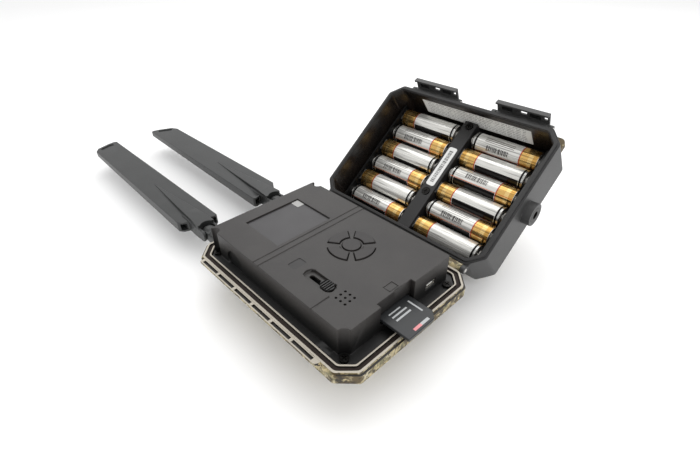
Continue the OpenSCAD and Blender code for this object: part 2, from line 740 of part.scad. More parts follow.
module hinge_ear(x, l) {
    rod_x(x, x + l, 0, 0, knuckle_r);
    box(x, x + l, 0.4, hinge_gap + 3, -2.4, -0.4);
}

module battery_tray() color([0.28, 0.28, 0.29]) tray_frame() difference() {
    union() {
        difference() {
            tray_outside();
            tray_inside();
        }
        // Tongue that presses on the seal
        difference() {
            slab(-1, tongue_h, rim_outer + 0.3, 1);
            slab(-2, tongue_h + 1, rim_outer + groove_w - 0.3, 1);
        }
        rod_x(boss_x0, case_l / 2 - 1, boss_y, boss_z, boss_r);
        // Ledges under the contact boards
        for (x = [left_face - board_in, right_face])
            box(x, x + board_in, cell_y0 - 1, board_y1 - 5, floor_z - eps, board_foot);
        // Gusset at the foot of the divider bar
        box(bar_x1 + 0.2, bar_x1 + 8, tray_in_y0 - eps, tray_in_y0 + 3.6, board_foot, bar_top - 3);
        for (p = bracket_screws_at) translate([p[0], p[1], floor_z - eps]) cylinder(h = 1.6, r = 2.2);
    }
    rod_x(boss_x1 - tripod_l - 2, boss_x1 + 1, boss_y, boss_z, insert_r);
    for (s = [-1, 1]) scale([s, 1, 1])
        rod_x(hinge_x - 2 * knuckle_l, hinge_x + 2 * knuckle_l, 0, 0, pin_r + run);
    for (c = latch_x) rod_x(c - latch_l / 2 - 5, c + latch_l / 2 + 5, latch_y, latch_z, latch_pin_r);
    for (p = bracket_screws_at) translate([p[0], p[1], -tray_d - 1]) cylinder(h = 4.2, r = screw_r);
    for (y = bar_screw_y) translate([bar_x, y, floor_z - 1.4]) cylinder(h = 3, r = screw_r);
}

module divider_bar() color([0.24, 0.24, 0.25]) tray_frame() difference() {
    union() {
        box(bar_x0, bar_x1, tray_in_y0 + 0.6, tray_in_y1 - 0.6, board_foot, bar_top);
        box(bar_x0, bar_x1, cell_y0 - 5, row_y(1) + 3, floor_z, board_foot + eps);
    }
    for (y = bar_screw_y) translate([bar_x, y, floor_z - 1]) {
        cylinder(h = bar_top - floor_z + 2, r = screw_r + 0.3);
        translate([0, 0, bar_top - floor_z]) cylinder(h = 2, r = screw_head_r + 0.4);
    }
}

module divider_screws() color("silver") tray_frame()
    for (y = bar_screw_y) translate([bar_x, y, bar_top - 1])
        pan_screw(bar_top - 1 - floor_z + 1.4, screw_r, screw_head_r, 1.2);

module contact_boards() color("darkgreen") tray_frame()
    for (x = [left_face - board_in, right_face])
        box(x, x + board_in, board_y0, board_y1, board_foot, board_head);

// One contact per cell end: a spring at each negative end and a plate at each positive end
module at_contacts(positive) {
    for (k = [1:cell_rows]) {
        odd = k % 2 == 1;
        translate([0, row_y(k), cell_z]) {
            if (odd == positive) {
                translate([left_face, 0, 0]) children();
                translate([right_face, 0, 0]) mirror([1, 0, 0]) children();
            } else {
                translate([bar_x0, 0, 0]) mirror([1, 0, 0]) children();
                translate([bar_x1, 0, 0]) children();
            }
        }
    }
}

module contact_plates() color("silver") tray_frame() at_contacts(true)
    translate([0, -4.5, -4.5]) cube([plate_t, 9, 9]);

// Conical spring, drawn as a stack of its turns
module contact_springs() color("silver") tray_frame() at_contacts(false)
    rotate([0, 90, 0]) rotate_extrude($fn = 32)
        polygon([[0, 0], [4.6, 0], [4.6, 0.7], [4, 0.7], [4, 1], [4.1, 1], [4.1, 1.7], [3.4, 1.7],
                 [3.4, 2.1], [3.5, 2.1], [3.5, contact_gap], [0, contact_gap]]);

module tripod_insert() color("silver") tray_frame() difference() {
    rod_x(boss_x1 - tripod_l - 2, boss_x1, boss_y, boss_z, insert_r);
    rod_x(boss_x1 - tripod_l, boss_x1 + 1, boss_y, boss_z, tripod_r);
}

module tree_bracket() color("tan") tray_frame() difference() {
    union() {
        rounded_box(-bracket_x, bracket_x, heel_y, bracket_y1, -tray_d - bracket_t, -tray_d, 4);
        for (y = [heel_y, bracket_y1 - 5])
            box(-bracket_x + 4, bracket_x - 4, y, y + 5, -tray_d - bracket_h, -tray_d - 1);
        for (x = [-hinge_x, hinge_x])
            rounded_box(x - ear_w / 2, x + ear_w / 2, ear_y - 25, ear_y + 7, -tray_d - ear_t, -tray_d, 4);
    }
    // Strap slots, toothed crests, padlock holes and screw holes
    for (y = [heel_y, bracket_y1 - 5]) {
        box(-strap_w / 2, strap_w / 2, y - 1, y + 6, -tray_d - bracket_t - slot_h, -tray_d - bracket_t);
        for (i = [-5:5]) box(i * 8 - 2, i * 8 + 2, y - 1, y + 6, -tray_d - bracket_h - 1,
                             -tray_d - bracket_h + 1.6);
    }
    for (x = [-hinge_x, hinge_x]) translate([x, ear_y, -tray_d - ear_t - 1])
        cylinder(h = ear_t + 2, r = lock_r);
    for (p = bracket_screws_at) translate([p[0], p[1], -tray_d - bracket_t - 1])
        cylinder(h = bracket_t + 2, r = screw_r + 0.3);
}

module bracket_screws() color("silver") tray_frame()
    for (p = bracket_screws_at) translate([p[0], p[1], -tray_d - bracket_t]) mirror([0, 0, 1])
        pan_screw(bracket_t + 3.2, screw_r, screw_head_r, 1.3);

module latch_pins() color("silver") tray_frame()
    for (c = latch_x) rod_x(c - latch_l / 2 - 0.3 - lug_w, c + latch_l / 2 + 0.3 + lug_w,
                            latch_y, latch_z, latch_pin_r);

// Snap latch in its resting place, hinged on its pin and open far enough to clear the flange
module latch(c) color([0.2, 0.2, 0.2]) tray_frame()
    translate([c, latch_y, latch_z]) rotate([-latch_rest, 0, 0]) difference() {
        union() {
            rod_x(-latch_l / 2, latch_l / 2, 0, 0, latch_knuckle_r);
            box(-latch_l / 2, latch_l / 2, 0, latch_out, -0.8, latch_knuckle_r);
            box(-latch_l / 2, latch_l / 2, latch_out - latch_t, latch_out, -0.8, latch_top);
            box(-latch_l / 2, latch_l / 2, -0.7, latch_out, latch_top - latch_t, latch_top);
        }
        rod_x(-latch_l, latch_l, 0, 0, latch_pin_r + run);
        // See-through windows, then pockets in the face toward the tray
        for (w = [[-0.04, 0.08], [0.4, 0.46]])
            box(w[0] * latch_l, w[1] * latch_l, latch_out - latch_t - 1, latch_out + 1,
                latch_top - latch_t - 4, latch_top - latch_t - 0.8);
        for (w = [[-0.4, -0.2], [0.14, 0.34]])
            box(w[0] * latch_l, w[1] * latch_l, latch_out - latch_t - 1, latch_out - 0.5,
                latch_knuckle_r + 1.2, latch_top - latch_t - 1.4);
    }

latch_t = 1.4;
latch_out = 2.8;                             // outer face of the latch from its pin
latch_top = -latch_z + 4.4;

module upper_latch() latch(latch_x[0]);

module lower_latch() latch(latch_x[1]);

// One AA cell along X, its positive nub at the far end
module aa_cell() rotate([0, 90, 0]) rotate_extrude() polygon([
    [0, 0.3], [4.5, 0.3], [5, 0], [cell_r - 0.5, 0], [cell_r, 0.5], [cell_r, cell_l - 1.9],
    [cell_r - 0.7, cell_l - 1.2], [2.8, cell_l - 1.2], [2.8, cell_l - 0.2], [2.5, cell_l], [0, cell_l]]);

module cell(i) color("gold") tray_frame() {
    k = (i - 1) % cell_rows + 1;
    left = i <= cell_rows;
    forward = (k % 2 == 0) == left;          // positive nub toward the card end
    x = left ? (forward ? bar_x0 - plate_t - cell_l : left_x)
             : (forward ? right_x : bar_x1 + plate_t);
    translate([x, row_y(k), cell_z])
        if (forward) aa_cell();
        else translate([cell_l, 0, 0]) mirror([1, 0, 0]) aa_cell();
}

// Antennas

neck_z = 3.4;
blade_gap = 0.35;
throat_y = elbow_eye / 2 + blade_gap;
fork_y = throat_y + 2;
fork_r = 4.4;
base_x = -10;                                // near end of the blade's long edge, from its pivot
spine_top = elbow_r + 1.5;
pocket_d = 8;
pocket_wall = 1.5;

// Rounded eye of the elbow, turned about the fold pin
module elbow_barrel() rotate([90, 0, 0]) rotate_extrude() {
    e = elbow_eye / 2;
    polygon([[0, -e], [0.6 * elbow_r, -e], [0.8 * elbow_r, -0.78 * e], [elbow_r - 0.1, -0.38 * e],
             [elbow_r - 0.1, 0.38 * e], [0.8 * elbow_r, 0.78 * e], [0.6 * elbow_r, e], [0, e]]);
}

module antenna_elbow(i) color([0.22, 0.22, 0.22]) front_frame()
    translate([pivot_x, antenna_y[i], antenna_z]) difference() {
        union() {
            rod_x(6, socket_x - 0.4 - pivot_x, 0, 0, elbow_r);
            box(0, 6.5, -elbow_eye / 2, elbow_eye / 2, -neck_z, neck_z);
            elbow_barrel();
        }
        rod_x(socket_x - socket_out - 0.4 - pivot_x, socket_x - pivot_x, 0, 0, socket_r + run);
        translate([0, elbow_eye, 0]) rotate([90, 0, 0])
            cylinder(h = 2 * elbow_eye, r = fold_pin_r + run);
    }

// Slanted ends of the blade: the long edge lies toward +Y
function base_edge(y) = base_x - blade_skew * (0.5 - y / blade_w);

function tip_edge(y) = blade_skew * (0.5 - y / tip_w) - blade_l;

// Blade from above, with its pivot at the origin and its tip toward -X
module blade_plan() {
    b = blade_w / 2;
    t = tip_w / 2;
    polygon([[base_edge(b - 2), b - 2], [base_edge(b) - 2, b],
             [tip_edge(t) + 3, t], [tip_edge(t - 2.5), t - 2.5],
             [tip_edge(-t + 3.5), -t + 3.5], [tip_edge(-t) + 4.5, -t],
             [base_edge(-b) - 2.5, -b], [base_edge(-b + 2.3), -b + 2.3]]);
}

module blade_side() {
    polygon([[0, -blade_t / 2], [0, blade_t / 2], [-20, blade_t / 2],
             [-blade_l + 4, blade_t / 2 - 1.4], [-blade_l - 1, blade_t / 2 - 2.2],
             [-blade_l - 1, -blade_t / 2 + 2.2], [-blade_l + 4, -blade_t / 2 + 1.4], [-20, -blade_t / 2]]);
}

// Spine over the elbow's eye, lower and narrower toward the tip
module blade_spine() {
    intersection() {
        linear_extrude(2 * spine_top) polygon([[-3.4, -fork_y], [-3.4, fork_y], [-spine_l, 0.4],
                                               [-spine_l, -0.4]]);
        translate([0, blade_w, 0]) rotate([90, 0, 0]) linear_extrude(2 * blade_w)
            polygon([[-spine_l - 1, 0], [0, 0], [0, spine_top], [-14, spine_top],
                     [-spine_l - 1, blade_t / 2 - 0.4]]);
    }
}

module antenna_blade(i) color([0.3, 0.3, 0.3]) front_frame()
    translate([pivot_x, antenna_y[i], antenna_z]) scale([1, 1 - 2 * i, 1]) {
        difference() {
            union() {
                intersection() {
                    translate([0, 0, -blade_t]) linear_extrude(2 * blade_t) blade_plan();
                    translate([0, blade_w, 0]) rotate([90, 0, 0]) linear_extrude(2 * blade_w) blade_side();
                }
                blade_spine();
                // Fork that grips the elbow's eye
                box(base_x - blade_skew - pocket_d, 0, -fork_y, fork_y, -fork_r, fork_r - 0.2);
                translate([0, fork_y, 0]) rotate([90, 0, 0]) cylinder(h = 2 * fork_y, r = fork_r);
            }
            // Throat round the eye, open above and below
            intersection() {
                translate([0, 0, -blade_w]) cylinder(h = 2 * blade_w, r = elbow_r + blade_gap);
                box(-blade_w, 1, -throat_y, throat_y, -blade_w, blade_w);
            }
            box(0, blade_w, -throat_y, throat_y, -blade_w, blade_w);
            // Pockets in the wide end
            for (y = [[fork_y + 1.3, blade_w / 2 - pocket_wall], [pocket_wall - blade_w / 2, -fork_y - 1.3]])
                translate([0, 0, pocket_wall - blade_t / 2]) linear_extrude(blade_t - 2 * pocket_wall)
                    polygon([[base_edge(y[0]) - pocket_d, y[0]], [base_edge(y[0]) + pocket_d, y[0]],
                             [base_edge(y[1]) + pocket_d, y[1]], [base_edge(y[1]) - pocket_d, y[1]]]);
            // Shallow recess along the tip
            translate([tip_edge(0) + 5.5, 0, 0]) rotate([0, 0, atan2(blade_skew, tip_w)])
                rounded_box(-2.2, 2.2, -6.5, 6.5, blade_t / 2 - 2.4, blade_t, 1.6);
        }
        translate([0, fork_y, 0]) rotate([90, 0, 0]) cylinder(h = 2 * fork_y, r = fold_pin_r);
    }

front_shell();
rim_gasket();
panel_housing();
display_window();
display_module();
main_board();
key_board();
key_switches();
mode_switch_body();
status_window();
speaker();
sd_socket();
usb_port();
housing_screws();
hinge_pins();
lens_hood();
lens_barrel();
lens_glass();
image_sensor();
ir_window();
ir_led_board();
ir_leds();
pir_lens();
pir_sensor();
antenna_sockets();
sd_card();
switch_knob();
key_ok();
arrow_key(180);  // key_up
arrow_key(0);  // key_down
arrow_key(270);  // key_left
arrow_key(90);  // key_right
battery_tray();
divider_bar();
contact_boards();
contact_springs();
contact_plates();
divider_screws();
tripod_insert();
tree_bracket();
bracket_screws();
latch_pins();
upper_latch();
lower_latch();
for (i = [1:2 * cell_rows]) cell(i);
antenna_elbow(0);  // antenna_elbow_1
antenna_blade(0);  // antenna_blade_1
antenna_elbow(1);  // antenna_elbow_2
antenna_blade(1);  // antenna_blade_2
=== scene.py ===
import json
import math
import bpy
from mathutils import Matrix, Vector


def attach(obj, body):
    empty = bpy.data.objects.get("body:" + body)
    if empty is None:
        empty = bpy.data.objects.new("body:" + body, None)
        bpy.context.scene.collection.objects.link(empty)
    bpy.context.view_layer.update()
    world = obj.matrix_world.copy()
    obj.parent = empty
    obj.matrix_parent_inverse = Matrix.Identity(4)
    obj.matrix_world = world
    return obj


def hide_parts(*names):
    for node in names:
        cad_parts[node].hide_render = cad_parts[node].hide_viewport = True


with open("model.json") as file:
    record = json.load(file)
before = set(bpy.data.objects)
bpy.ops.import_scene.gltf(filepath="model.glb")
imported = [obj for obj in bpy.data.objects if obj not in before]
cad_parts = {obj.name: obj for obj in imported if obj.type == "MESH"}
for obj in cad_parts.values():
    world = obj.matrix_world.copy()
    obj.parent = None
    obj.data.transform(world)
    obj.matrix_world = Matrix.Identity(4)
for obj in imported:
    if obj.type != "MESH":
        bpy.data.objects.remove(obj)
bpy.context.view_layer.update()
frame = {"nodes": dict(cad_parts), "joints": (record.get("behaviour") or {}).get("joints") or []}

millimetre = 0.001

bpy.context.scene.view_settings.view_transform = "Standard"

hingePoint = next(Vector(joint["pos_m"]) for joint in frame["joints"] if joint["name"] == "lid_hinge")
openTilt = math.radians(38)
# Both frames have X along the hinge, Y away from the panel and Z up, and the tray's is tilted with it
panelFrame = Matrix.Translation(hingePoint)
trayFrame = panelFrame @ Matrix.Rotation(openTilt, 4, "X")


def colour(hexText):
    values = [int(hexText[i:i + 2], 16) / 255 for i in (0, 2, 4)]
    linear = [v / 12.92 if v <= 0.04045 else ((v + 0.055) / 1.055) ** 2.4 for v in values]
    return (*linear, 1.0)


def add(material, kind, settings=None, **inputs):
    # An input is named as in Blender, with _ for a space, or by i and its number.
    # The stops of a ramp are pairs of a place and a hex colour or a grey level
    node = material.node_tree.nodes.new("ShaderNode" + kind)
    for name, value in (settings or {}).items():
        if name == "interpolation":
            node.color_ramp.interpolation = value
        elif name == "stops":
            elements = node.color_ramp.elements
            while len(elements) < len(value):
                elements.new(0.5)
            for element, (place, shade) in zip(elements, value):
                element.position = place
                element.color = colour(shade) if isinstance(shade, str) else (shade, shade, shade, 1)
        else:
            setattr(node, name, value)
    for name, value in inputs.items():
        key = int(name[1:]) if name[0] == "i" and name[1:].isdigit() else name.replace("_", " ")
        if isinstance(value, bpy.types.NodeSocket):
            material.node_tree.links.new(value, node.inputs[key])
        else:
            node.inputs[key].default_value = value
    return node


def newMaterial(name):
    material = bpy.data.materials.new(name)
    material.use_nodes = True
    material.node_tree.nodes.clear()
    return material


def finishMaterial(material, shader):
    output = material.node_tree.nodes.new("ShaderNodeOutputMaterial")
    material.node_tree.links.new(shader.outputs[0], output.inputs[0])
    return material


# Sizes of the patterns and depths of the reliefs, in millimetres
patternSizes = {"cloud": 18.182, "smudge": 11.111, "print_grain": 0.38462, "stroke": (25.0, 0.625, 0.625),
                "facet": 3.8462, "stripe": 0.47619, "rule_pitch": 2.1, "rule_width": 0.75, "rule_break": 1.1111,
                "paper_fibre": 2.5, "relief": 0.05, "metal_relief": 0.02, "foil_relief": 0.12,
                "facet_relief": 0.2}


def scaleOf(name):
    return 1 / (patternSizes[name] * millimetre)


def depthOf(name):
    return patternSizes[name] * millimetre


def mouldedPlastic(name, base, light, rough=0.5, grain=0.35, bump=0.12):
    # Injection moulded: a fine grain, its size in millimetres, under slow clouds of tone
    material = newMaterial(name)
    place = add(material, "TexCoord").outputs["Object"]
    fine = add(material, "TexNoise", Vector=place, Scale=1 / (grain * millimetre), Detail=3.0, Roughness=0.6)
    broad = add(material, "TexNoise", Vector=place, Scale=scaleOf("cloud"), Detail=2.0)
    tint = add(material, "ValToRGB", {"stops": [(0.3, base), (0.75, light)]}, Fac=broad.outputs[0])
    gloss = add(material, "ValToRGB", {"stops": [(0.3, rough - 0.06), (0.7, rough + 0.08)]},
                Fac=fine.outputs[0])
    relief = add(material, "Bump", Height=fine.outputs[0], Strength=bump, Distance=depthOf("relief"))
    shader = add(material, "BsdfPrincipled", Base_Color=tint.outputs[0], Roughness=gloss.outputs[0],
                 Normal=relief.outputs[0], IOR=1.5)
    return finishMaterial(material, shader)


def camouflage(name, parts):
    # Dipped print: bent blotches laid over each other, each with a size in millimetres and a share left bare
    material = newMaterial(name)
    place = add(material, "TexCoord").outputs["Object"]
    bent = add(material, "TexNoise", Vector=place, Scale=1 / (parts["bend"] * millimetre), Detail=2.0)
    moved = add(material, "VectorMath", {"operation": "MULTIPLY_ADD"}, i0=bent.outputs["Color"],
                i1=(parts["shift"] * millimetre,) * 3, i2=place)
    tone = colour(parts["ground"])
    for index, (shade, size, bare) in enumerate(parts["patches"]):
        offset = add(material, "VectorMath", {"operation": "ADD"}, i0=moved.outputs[0],
                     i1=[step * index for step in parts["offset"]])
        patch = add(material, "TexNoise", Vector=offset.outputs[0], Scale=1 / (size * millimetre), Detail=4.0,
                    Roughness=0.62)
        edge = add(material, "ValToRGB", {"stops": [(bare - 0.02, 0), (bare + 0.045, 1)]},
                   Fac=patch.outputs[0])
        mix = add(material, "Mix", {"data_type": "RGBA"}, i0=edge.outputs[0], i6=tone, i7=colour(shade))
        tone = mix.outputs[2]
    fine = add(material, "TexNoise", Vector=place, Scale=scaleOf("print_grain"), Detail=2.0)
    relief = add(material, "Bump", Height=fine.outputs[0], Strength=0.15, Distance=depthOf("relief"))
    gloss = add(material, "ValToRGB", {"stops": [(0.3, 0.52), (0.7, 0.68)]}, Fac=fine.outputs[0])
    shader = add(material, "BsdfPrincipled", Base_Color=tone, Roughness=gloss.outputs[0],
                 Normal=relief.outputs[0], IOR=1.48)
    return finishMaterial(material, shader)


def platedMetal(name, base, rough=0.3):
    # Drawn or rolled before plating, so its fine strokes run one way
    material = newMaterial(name)
    place = add(material, "TexCoord").outputs["Object"]
    strokes = [1 / (size * millimetre) for size in patternSizes["stroke"]]
    stretched = add(material, "Mapping", Vector=place, Scale=strokes)
    fine = add(material, "TexNoise", Vector=stretched.outputs[0], Scale=1.0, Detail=3.0)
    gloss = add(material, "ValToRGB", {"stops": [(0.3, rough - 0.08), (0.7, rough + 0.12)]},
                Fac=fine.outputs[0])
    relief = add(material, "Bump", Height=fine.outputs[0], Strength=0.08, Distance=depthOf("metal_relief"))
    shader = add(material, "BsdfPrincipled", Base_Color=colour(base), Metallic=1.0,
                 Roughness=gloss.outputs[0], Normal=relief.outputs[0])
    return finishMaterial(material, shader)


def clearGloss(name, base, rough=0.08, coat=0.6):
    # Glass or acrylic over something dark: a smooth, slightly smudged surface
    material = newMaterial(name)
    place = add(material, "TexCoord").outputs["Object"]
    broad = add(material, "TexNoise", Vector=place, Scale=scaleOf("smudge"), Detail=2.0)
    gloss = add(material, "ValToRGB", {"stops": [(0.3, rough), (0.7, rough + 0.05)]}, Fac=broad.outputs[0])
    shader = add(material, "BsdfPrincipled", Base_Color=colour(base), Roughness=gloss.outputs[0], IOR=1.5,
                 Coat_Weight=coat, Coat_Roughness=0.05)
    return finishMaterial(material, shader)


def paintedTroughShade(material, low, high, least):
    # Painted shade: the colour falls off toward the floor of the trough, where recesses lie in shadow
    shader = next(node for node in material.node_tree.nodes if node.type == "BSDF_PRINCIPLED")
    tone = shader.inputs["Base Color"].links[0].from_socket
    place = add(material, "TexCoord").outputs["Object"]
    height = add(material, "SeparateXYZ", Vector=place).outputs[2]
    fall = add(material, "MapRange", {"interpolation_type": "SMOOTHSTEP"}, Value=height,
               From_Min=hingePoint.z + low * millimetre, From_Max=hingePoint.z + high * millimetre,
               To_Min=least, To_Max=1.0)
    shaded = add(material, "VectorMath", {"operation": "SCALE"}, i0=tone, Scale=fall.outputs[0])
    material.node_tree.links.new(shaded.outputs[0], shader.inputs["Base Color"])


def printOver(material, below, shade, *limits):
    # Prints a flat shade where all limits hold: a mask, or a value with the middle and reach of its span
    mask = 1.0
    for limit in limits:
        if isinstance(limit, tuple):
            value, middle, reach = limit
            limit = add(material, "Math", {"operation": "COMPARE"}, i0=value, i1=middle, i2=reach).outputs[0]
        mask = add(material, "Math", {"operation": "MULTIPLY"}, i0=mask, i1=limit).outputs[0]
    return add(material, "Mix", {"data_type": "RGBA"}, i0=mask, i6=below, i7=colour(shade)).outputs[2]


camoParts = {"ground": "a39674", "bend": 14.286, "shift": 12.0, "offset": (0.37, 0.21, 0.11),
             "patches": [("6f6a4c", 11.765, 0.48), ("b9b095", 8.3333, 0.55), ("56492f", 10.0, 0.5),
                         ("2c261c", 5.2632, 0.56), ("b7a880", 3.8462, 0.58), ("3a3020", 2.381, 0.58)]}
# Tan, olive and brown blotches with no shine, so the case breaks up against bark
camoShell = camouflage("printedCamouflageAbs", camoParts)
# Unprinted rim: a pale, even line round the dark inside
rimCream = mouldedPlastic("bareTanAbs", "a9a295", "bab3a6", rough=0.5)
# Inside of the front half: brown-black as painted shade, so groove and ledge read as depth
shellInnerPaintedShade = mouldedPlastic("innerBrownAbs", "191613", "241f1a", rough=0.55)
# Warm charcoal panel whose soft sheen picks out its edges
panelAbs = mouldedPlastic("charcoalAbs", "242120", "2c2927", rough=0.46)
# Neutral dark grey of the tray's outside, a step lighter than the panel
trayAbs = mouldedPlastic("graphiteAbs", "2c2c2c", "363636", rough=0.45)
# Near-black bar and rim edge, darker than the walls beside them
barAbs = mouldedPlastic("matteBlackAbs", "141313", "1b1a1a", rough=0.5)
# Inside of the tray: darker as painted shade, with brown clouds as a painted reflection of the cells' gold
# ends, and shinier, so the cells show faintly in it
trayInnerPaintedShade = mouldedPlastic("glossyInnerAbs", "151312", "231d19", rough=0.3, grain=0.8, bump=0.05)
# Blades and elbows: cool dark grey with a satin light along the ridge
bladeAbs = mouldedPlastic("satinGraphiteAbs", "242525", "2b2c2c", rough=0.42)
# Latches: the lightest of the greys, so they stand off the tray
latchAbs = mouldedPlastic("latchAbs", "333333", "3c3c3b", rough=0.42)
# Keys: duller and softer than the panel round them
keyRubber = mouldedPlastic("siliconeRubber", "232020", "2a2726", rough=0.52)
# Foam cord in the groove: no shine, and coarse cells
sealRubber = mouldedPlastic("foamRubber", "211813", "2b201a", rough=0.85, grain=0.6, bump=0.4)
# Deep black of the hood and the speaker's rim; in the latch pockets this black is painted shade
blackAbs = mouldedPlastic("blackAbs", "101010", "171717", rough=0.4)
# Knob: a warmer black that catches light on its ribs
knobAbs = mouldedPlastic("knobAbs", "171615", "1e1d1d", rough=0.42)
# Card: blue-black and very fine, as smooth as a new card
cardAbs = mouldedPlastic("cardAbs", "1a1c1e", "202224", rough=0.4, grain=0.2)
# Bright plated steel: white highlights on pins, sockets and cell ends
nickel = platedMetal("nickelPlate", "c9c7c2")
# Blackened screws: dark, with a thin metallic glint in the drive
blackOxide = platedMetal("blackOxideSteel", "2a2928", rough=0.38)
# Antenna sockets: a warm yellow glint
brassPlate = platedMetal("brass", "b99354")
# Boards: green lacquer, shiny and a little uneven over the tracks
boardGreen = mouldedPlastic("solderMask", "12442a", "17502f", rough=0.3, grain=0.8, bump=0.05)
# Contact boards: black lacquer that hides behind the springs
boardBlack = mouldedPlastic("blackSolderMask", "0d0d0d", "141414", rough=0.3, grain=0.8, bump=0.05)
# Display cover, switched off: a dull dark pane, barely lighter than the panel
screenGlass = clearGloss("displayGlass", "2c2a2c", rough=0.34, coat=0.0)
# Window over the lamps: glossy, and red-black against the sky
windowTint = clearGloss("infraredAcrylic", "120608")
# Light window: smoky and dull, as it is unlit
lightLens = clearGloss("smokedAcrylic", "1c1a1a", rough=0.42, coat=0.0)
# Lamps: clear domes that read as pale grey dots
ledEpoxy = clearGloss("ledEpoxy", "c8ccd0")
# White ink, grey-white as it is thin over black
ink = mouldedPlastic("whiteInk", "a3a5a6", "b4b6b7", rough=0.5, grain=0.15, bump=0.05)
# Faded red patch on the card
pinkInk = mouldedPlastic("pinkInk", "c9787b", "d99094", rough=0.5, grain=0.15, bump=0.05)
# Tongue of the port: a small bright bar in a dark mouth, white nylon made bright as a painted glint of the
# port's metal
portTongueGlint = mouldedPlastic("nylon", "e4e4e0", "f0f0ec", rough=0.4, grain=0.2, bump=0.03)
# Pull tab of the display's protective sheet: a milky, shiny square, made pale as a painted glint at the
# display's corner
filmTabGlint = clearGloss("protectiveFilm", "8d8c8a", rough=0.2, coat=0.3)
# Painted shade on the panel: darker toward the floor of the trough
paintedTroughShade(panelAbs, 3.0, 16.2, 0.04)

# Front lens: clear, with a crisp reflection over the dark barrel
lensGlass = newMaterial("opticalGlass")
finishMaterial(lensGlass, add(lensGlass, "BsdfPrincipled", Base_Color=colour("e8ecf4"), Roughness=0.02,
                              IOR=1.52, Transmission_Weight=1.0))


def fresnelDome():
    # Milky polyethylene that glows a little, with the small facets that split a motion sensor's view
    material = newMaterial("milkyPolyethylene")
    place = add(material, "TexCoord").outputs["Object"]
    facets = add(material, "TexVoronoi", {"feature": "DISTANCE_TO_EDGE"}, Vector=place,
                 Scale=scaleOf("facet"))
    groove = add(material, "ValToRGB", {"stops": [(0.0, 0.0), (0.09, 1.0)]}, Fac=facets.outputs["Distance"])
    # Painted shade: the tint is darker in the facet grooves
    tint = add(material, "ValToRGB", {"stops": [(0.0, "bdbcb6"), (1.0, "d8d7d2")]}, Fac=groove.outputs[0])
    relief = add(material, "Bump", Height=groove.outputs[0], Strength=0.5, Distance=depthOf("facet_relief"))
    shader = add(material, "BsdfPrincipled", Base_Color=tint.outputs[0], Roughness=0.5,
                 Normal=relief.outputs[0], Subsurface_Weight=0.2, Subsurface_Scale=0.002)
    return finishMaterial(material, shader)


stickerParts = {"across": (-1.9, 1.5), "along": (61.75, 14.0)}


def trayAxis(material, place, direction):
    # Distance from the hinge along a direction of the tray, as a value
    offset = add(material, "VectorMath", {"operation": "SUBTRACT"}, i0=place, i1=tuple(hingePoint))
    turned = trayFrame.to_3x3() @ Vector(direction)
    return add(material, "VectorMath", {"operation": "DOT_PRODUCT"}, i0=offset.outputs[0],
               i1=tuple(turned)).outputs["Value"]


def stripedSticker():
    # White sticker with plain black stripes of uneven width across the bar
    material = newMaterial("stripedSticker")
    place = add(material, "TexCoord").outputs["Object"]
    along = trayAxis(material, place, (0, 1, 0))
    across = add(material, "SeparateXYZ", Vector=place).outputs[0]
    uneven = add(material, "TexNoise", {"noise_dimensions": "1D"}, W=along, Scale=scaleOf("stripe"),
                 Detail=1.0)
    dark = add(material, "ValToRGB", {"interpolation": "CONSTANT", "stops": [(0.0, 1), (0.5, 0)]},
               Fac=uneven.outputs[0])
    tone = printOver(material, colour("d9d9d7"), "262626", dark.outputs[0],
                     (across, *(size * millimetre for size in stickerParts["across"])),
                     (along, *(size * millimetre for size in stickerParts["along"])))
    shader = add(material, "BsdfPrincipled", Base_Color=tone, Roughness=0.45)
    return finishMaterial(material, shader)


def ruledPaper():
    # White paper with faint grey rules of uneven length
    material = newMaterial("ruledLabelPaper")
    place = add(material, "TexCoord").outputs["Object"]
    down = trayAxis(material, place, (0, 0, 1))
    across = trayAxis(material, place, (1, 0, 0))
    raised = add(material, "Math", {"operation": "ADD"}, i0=down, i1=1.0)
    lines = add(material, "Math", {"operation": "MODULO"}, i0=raised.outputs[0], i1=depthOf("rule_pitch"))
    thin = add(material, "Math", {"operation": "LESS_THAN"}, i0=lines.outputs[0], i1=depthOf("rule_width"))
    row = add(material, "Math", {"operation": "SNAP"}, i0=down, i1=depthOf("rule_pitch"))
    spot = add(material, "CombineXYZ", X=across, Y=row.outputs[0])
    gaps = add(material, "TexNoise", {"noise_dimensions": "2D"}, Vector=spot.outputs[0],
               Scale=scaleOf("rule_break"), Detail=0.0)
    broken = add(material, "ValToRGB", {"interpolation": "CONSTANT", "stops": [(0.0, 0), (0.42, 1)]},
                 Fac=gaps.outputs[0])
    tone = printOver(material, colour("f2f2ee"), "9a9996", thin.outputs[0], broken.outputs[0],
                     (across, 1.0 * millimetre, 40.5 * millimetre))
    shader = add(material, "BsdfPrincipled", Base_Color=tone, Roughness=0.5)
    return finishMaterial(material, shader)


# Print of the wrapper: spans are a middle and a reach, in cell lengths along and in turns around
wrapParts = {"bands": [(0.0, "b9b9b6"), (0.03, "1b1a19"), (0.055, "dddcd7"), (0.722, "b5442e"),
                       (0.735, "d9b06a"), (0.84, "e6c483"), (0.9, "c99c54")],
             "metallic": [(0.0, 0.9), (0.055, 0.55), (0.735, 0.95)],
             "dark_band": {"along": (0.39, 0.325), "around": (0.72, 0.062)}, "orange_line": (0.65, 0.005),
             "bars": {"along": (0.4, 0.17), "around": (0.56, 0.042), "scale": 95.0},
             "rules": {"along": (0.4, 0.22), "turns": (0.46, 0.43, 0.4), "reach": 0.006},
             "streaks": (40.0, 1.3, 1.0)}


